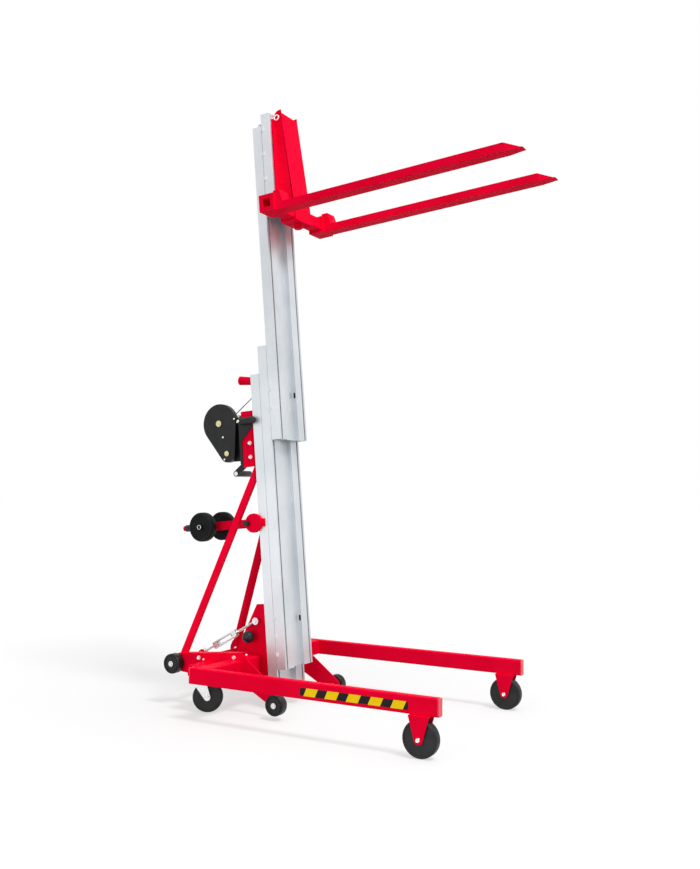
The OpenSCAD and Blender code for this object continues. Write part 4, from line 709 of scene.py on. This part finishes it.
def run_paths():
    """The cable from the drum to the front of the sheave, and from there down to its end."""
    way_d, way_h = SHEAVE_D + DRUM_BACK, SHEAVE_H - DRUM_H
    tilt = math.asin((RUN_R - GROOVE_R) / math.hypot(way_d, way_h))
    lead = math.atan2(way_h, way_d) - tilt + math.pi / 2
    leave = mast(RUN_R * math.cos(lead) - DRUM_BACK, LEAVE_Y, DRUM_H + RUN_R * math.sin(lead))
    bend = []
    for i in range(BEND_STEPS + 1):
        a = lead * (1 - i / BEND_STEPS)
        bend.append(mast(SHEAVE_D + GROOVE_R * math.cos(a), 0, SHEAVE_H + GROOVE_R * math.sin(a)))
    return straight(leave, bend[0])[:-1] + bend, straight(bend[-1], on_drop(CABLE_END_H))


def end_sleeve(bm):
    """The crimped sleeve on the cable's end."""
    low, high = on_drop(SLEEVE_LOW), on_drop(SLEEVE_HIGH)
    sleeve = bmesh.ops.create_cone(bm, cap_ends=True, segments=SLEEVE_SIDES, radius1=SLEEVE_R,
                                   radius2=SLEEVE_R, depth=(high - low).length)
    place = Matrix.Translation((low + high) / 2) @ Matrix.Rotation(-LEAN, 4, "Y")
    bmesh.ops.transform(bm, verts=sleeve["verts"], matrix=place)


bm = bmesh.new()
rope(bm, winding_path())
winding = add("cable_winding_rope", bm, "drum", [ROPE])
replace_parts(winding, "cable_winding")

# The run up to the sheave stands still on the base. The drop rides on no body,
# and its place is baked into its mesh.
run_path, drop_path = run_paths()
bm = bmesh.new()
run_turn = rope(bm, run_path)
run = add("lift_cable_rope", bm, "base", [ROPE])
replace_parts(run, "lift_cable")
bm = bmesh.new()
rope(bm, drop_path, run_turn)
end_sleeve(bm)
drop = add("lift_cable_drop", bm, None, [ROPE])
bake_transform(drop)


# ---- Floor, light and camera ----

FLOOR_REACH = 30.0
FLOOR_GREY = 0.36
GLOW_NEAR, GLOW_FAR = 0.57, 0.81
NEAR_DISTANCE, FAR_DISTANCE = 0.8, 5.0
WORLD_LIGHT, WORLD_SEEN = 0.55, 1.0


def seen_level(tree, unseen, seen):
    """A strength for rays that show the surround, by sight or in a mirror, and another for the rest."""
    path = tree.nodes.new("ShaderNodeLightPath")
    either = path.outputs["Is Camera Ray"]
    for ray in ("Is Glossy Ray", "Is Transmission Ray"):
        larger = tree.nodes.new("ShaderNodeMath")
        larger.operation = "MAXIMUM"
        tree.links.new(either, larger.inputs[0])
        tree.links.new(path.outputs[ray], larger.inputs[1])
        either = larger.outputs["Value"]
    level = tree.nodes.new("ShaderNodeMapRange")
    level.inputs["To Min"].default_value = unseen
    level.inputs["To Max"].default_value = seen
    tree.links.new(either, level.inputs["Value"])
    return level.outputs["Result"]


def floor_glow(tree):
    """The floor's own light, which grows with the distance from the part, as the lamps on it fade."""
    away = tree.nodes.new("ShaderNodeVectorMath")
    away.operation = "LENGTH"
    tree.links.new(tree.nodes.new("ShaderNodeTexCoord").outputs["Object"], away.inputs[0])
    level = tree.nodes.new("ShaderNodeMapRange")
    for socket, value in (("From Min", NEAR_DISTANCE), ("From Max", FAR_DISTANCE),
                          ("To Min", GLOW_NEAR), ("To Max", GLOW_FAR)):
        level.inputs[socket].default_value = value
    tree.links.new(away.outputs["Value"], level.inputs["Value"])
    shown = tree.nodes.new("ShaderNodeMath")
    shown.operation = "MULTIPLY"
    tree.links.new(level.outputs["Result"], shown.inputs[0])
    tree.links.new(seen_level(tree, 0.0, 1.0), shown.inputs[1])
    return shown.outputs["Value"]


def floor_material():
    """Grey to the lamps, so that the shadow shows, and lifted to white for rays that show the floor."""
    mat = bpy.data.materials.new("floor_white")
    mat.use_nodes = True
    tree = mat.node_tree
    tree.nodes.clear()
    out = tree.nodes.new("ShaderNodeOutputMaterial")
    both = tree.nodes.new("ShaderNodeAddShader")
    diffuse = tree.nodes.new("ShaderNodeBsdfDiffuse")
    diffuse.inputs["Color"].default_value = (FLOOR_GREY, FLOOR_GREY, FLOOR_GREY, 1)
    glow = tree.nodes.new("ShaderNodeEmission")
    tree.links.new(floor_glow(tree), glow.inputs["Strength"])
    tree.links.new(diffuse.outputs["BSDF"], both.inputs[0])
    tree.links.new(glow.outputs["Emission"], both.inputs[1])
    tree.links.new(both.outputs["Shader"], out.inputs["Surface"])
    return mat


floor_mesh = bpy.data.meshes.new("floor")
bm = bmesh.new()
bmesh.ops.create_grid(bm, x_segments=1, y_segments=1, size=FLOOR_REACH)
bm.to_mesh(floor_mesh)
bm.free()
floor = bpy.data.objects.new("floor", floor_mesh)
bpy.context.scene.collection.objects.link(floor)
floor_mesh.materials.append(floor_material())

world = bpy.data.worlds.new("studio")
bpy.context.scene.world = world
world.use_nodes = True
back = world.node_tree.nodes["Background"]
back.inputs["Color"].default_value = (1, 1, 1, 1)
world.node_tree.links.new(seen_level(world.node_tree, WORLD_LIGHT, WORLD_SEEN), back.inputs["Strength"])


def area_light(name, place, aim, size, watts):
    data = bpy.data.lights.new(name, "AREA")
    data.shape = "RECTANGLE"
    data.size, data.size_y = size
    data.energy = watts
    light = bpy.data.objects.new(name, data)
    bpy.context.scene.collection.objects.link(light)
    light.location = place
    light.rotation_euler = (Vector(aim) - Vector(place)).to_track_quat("-Z", "Y").to_euler()
    light.visible_camera = False


area_light("key", place=(4.6, -1.7, 8.5), aim=(0, 0, 0.6), size=(2.2, 2.2), watts=560)
area_light("fill", place=(-0.4, -2.8, 0.6), aim=(-0.1, 0, 0.5), size=(1.6, 1.2), watts=15)
area_light("top", place=(0.4, 0.8, 5.4), aim=(0, 0, 0), size=(3.0, 3.0), watts=40)

CAMERA_PLACE = (1.8414, -3.2902, 0.8828)
CAMERA_YAW, CAMERA_PITCH, CAMERA_ROLL = 28.998, 2.912, 0.577
FOCAL_PIXELS = 967.6
IMAGE_LONG_SIDE = 869
SENSOR_MM = 36.0
CLIP_END = 200
camera_data = bpy.data.cameras.new("camera")
camera_data.sensor_width = SENSOR_MM
camera_data.lens = FOCAL_PIXELS / IMAGE_LONG_SIDE * SENSOR_MM
camera_data.clip_end = CLIP_END
camera = bpy.data.objects.new("camera", camera_data)
bpy.context.scene.collection.objects.link(camera)
camera.matrix_world = (Matrix.Translation(CAMERA_PLACE) @ Matrix.Rotation(math.radians(CAMERA_YAW), 4, "Z")
                       @ Matrix.Rotation(math.radians(90 + CAMERA_PITCH), 4, "X")
                       @ Matrix.Rotation(math.radians(CAMERA_ROLL), 4, "Z"))
bpy.context.scene.camera = camera
bpy.context.scene.view_settings.view_transform = "Standard"
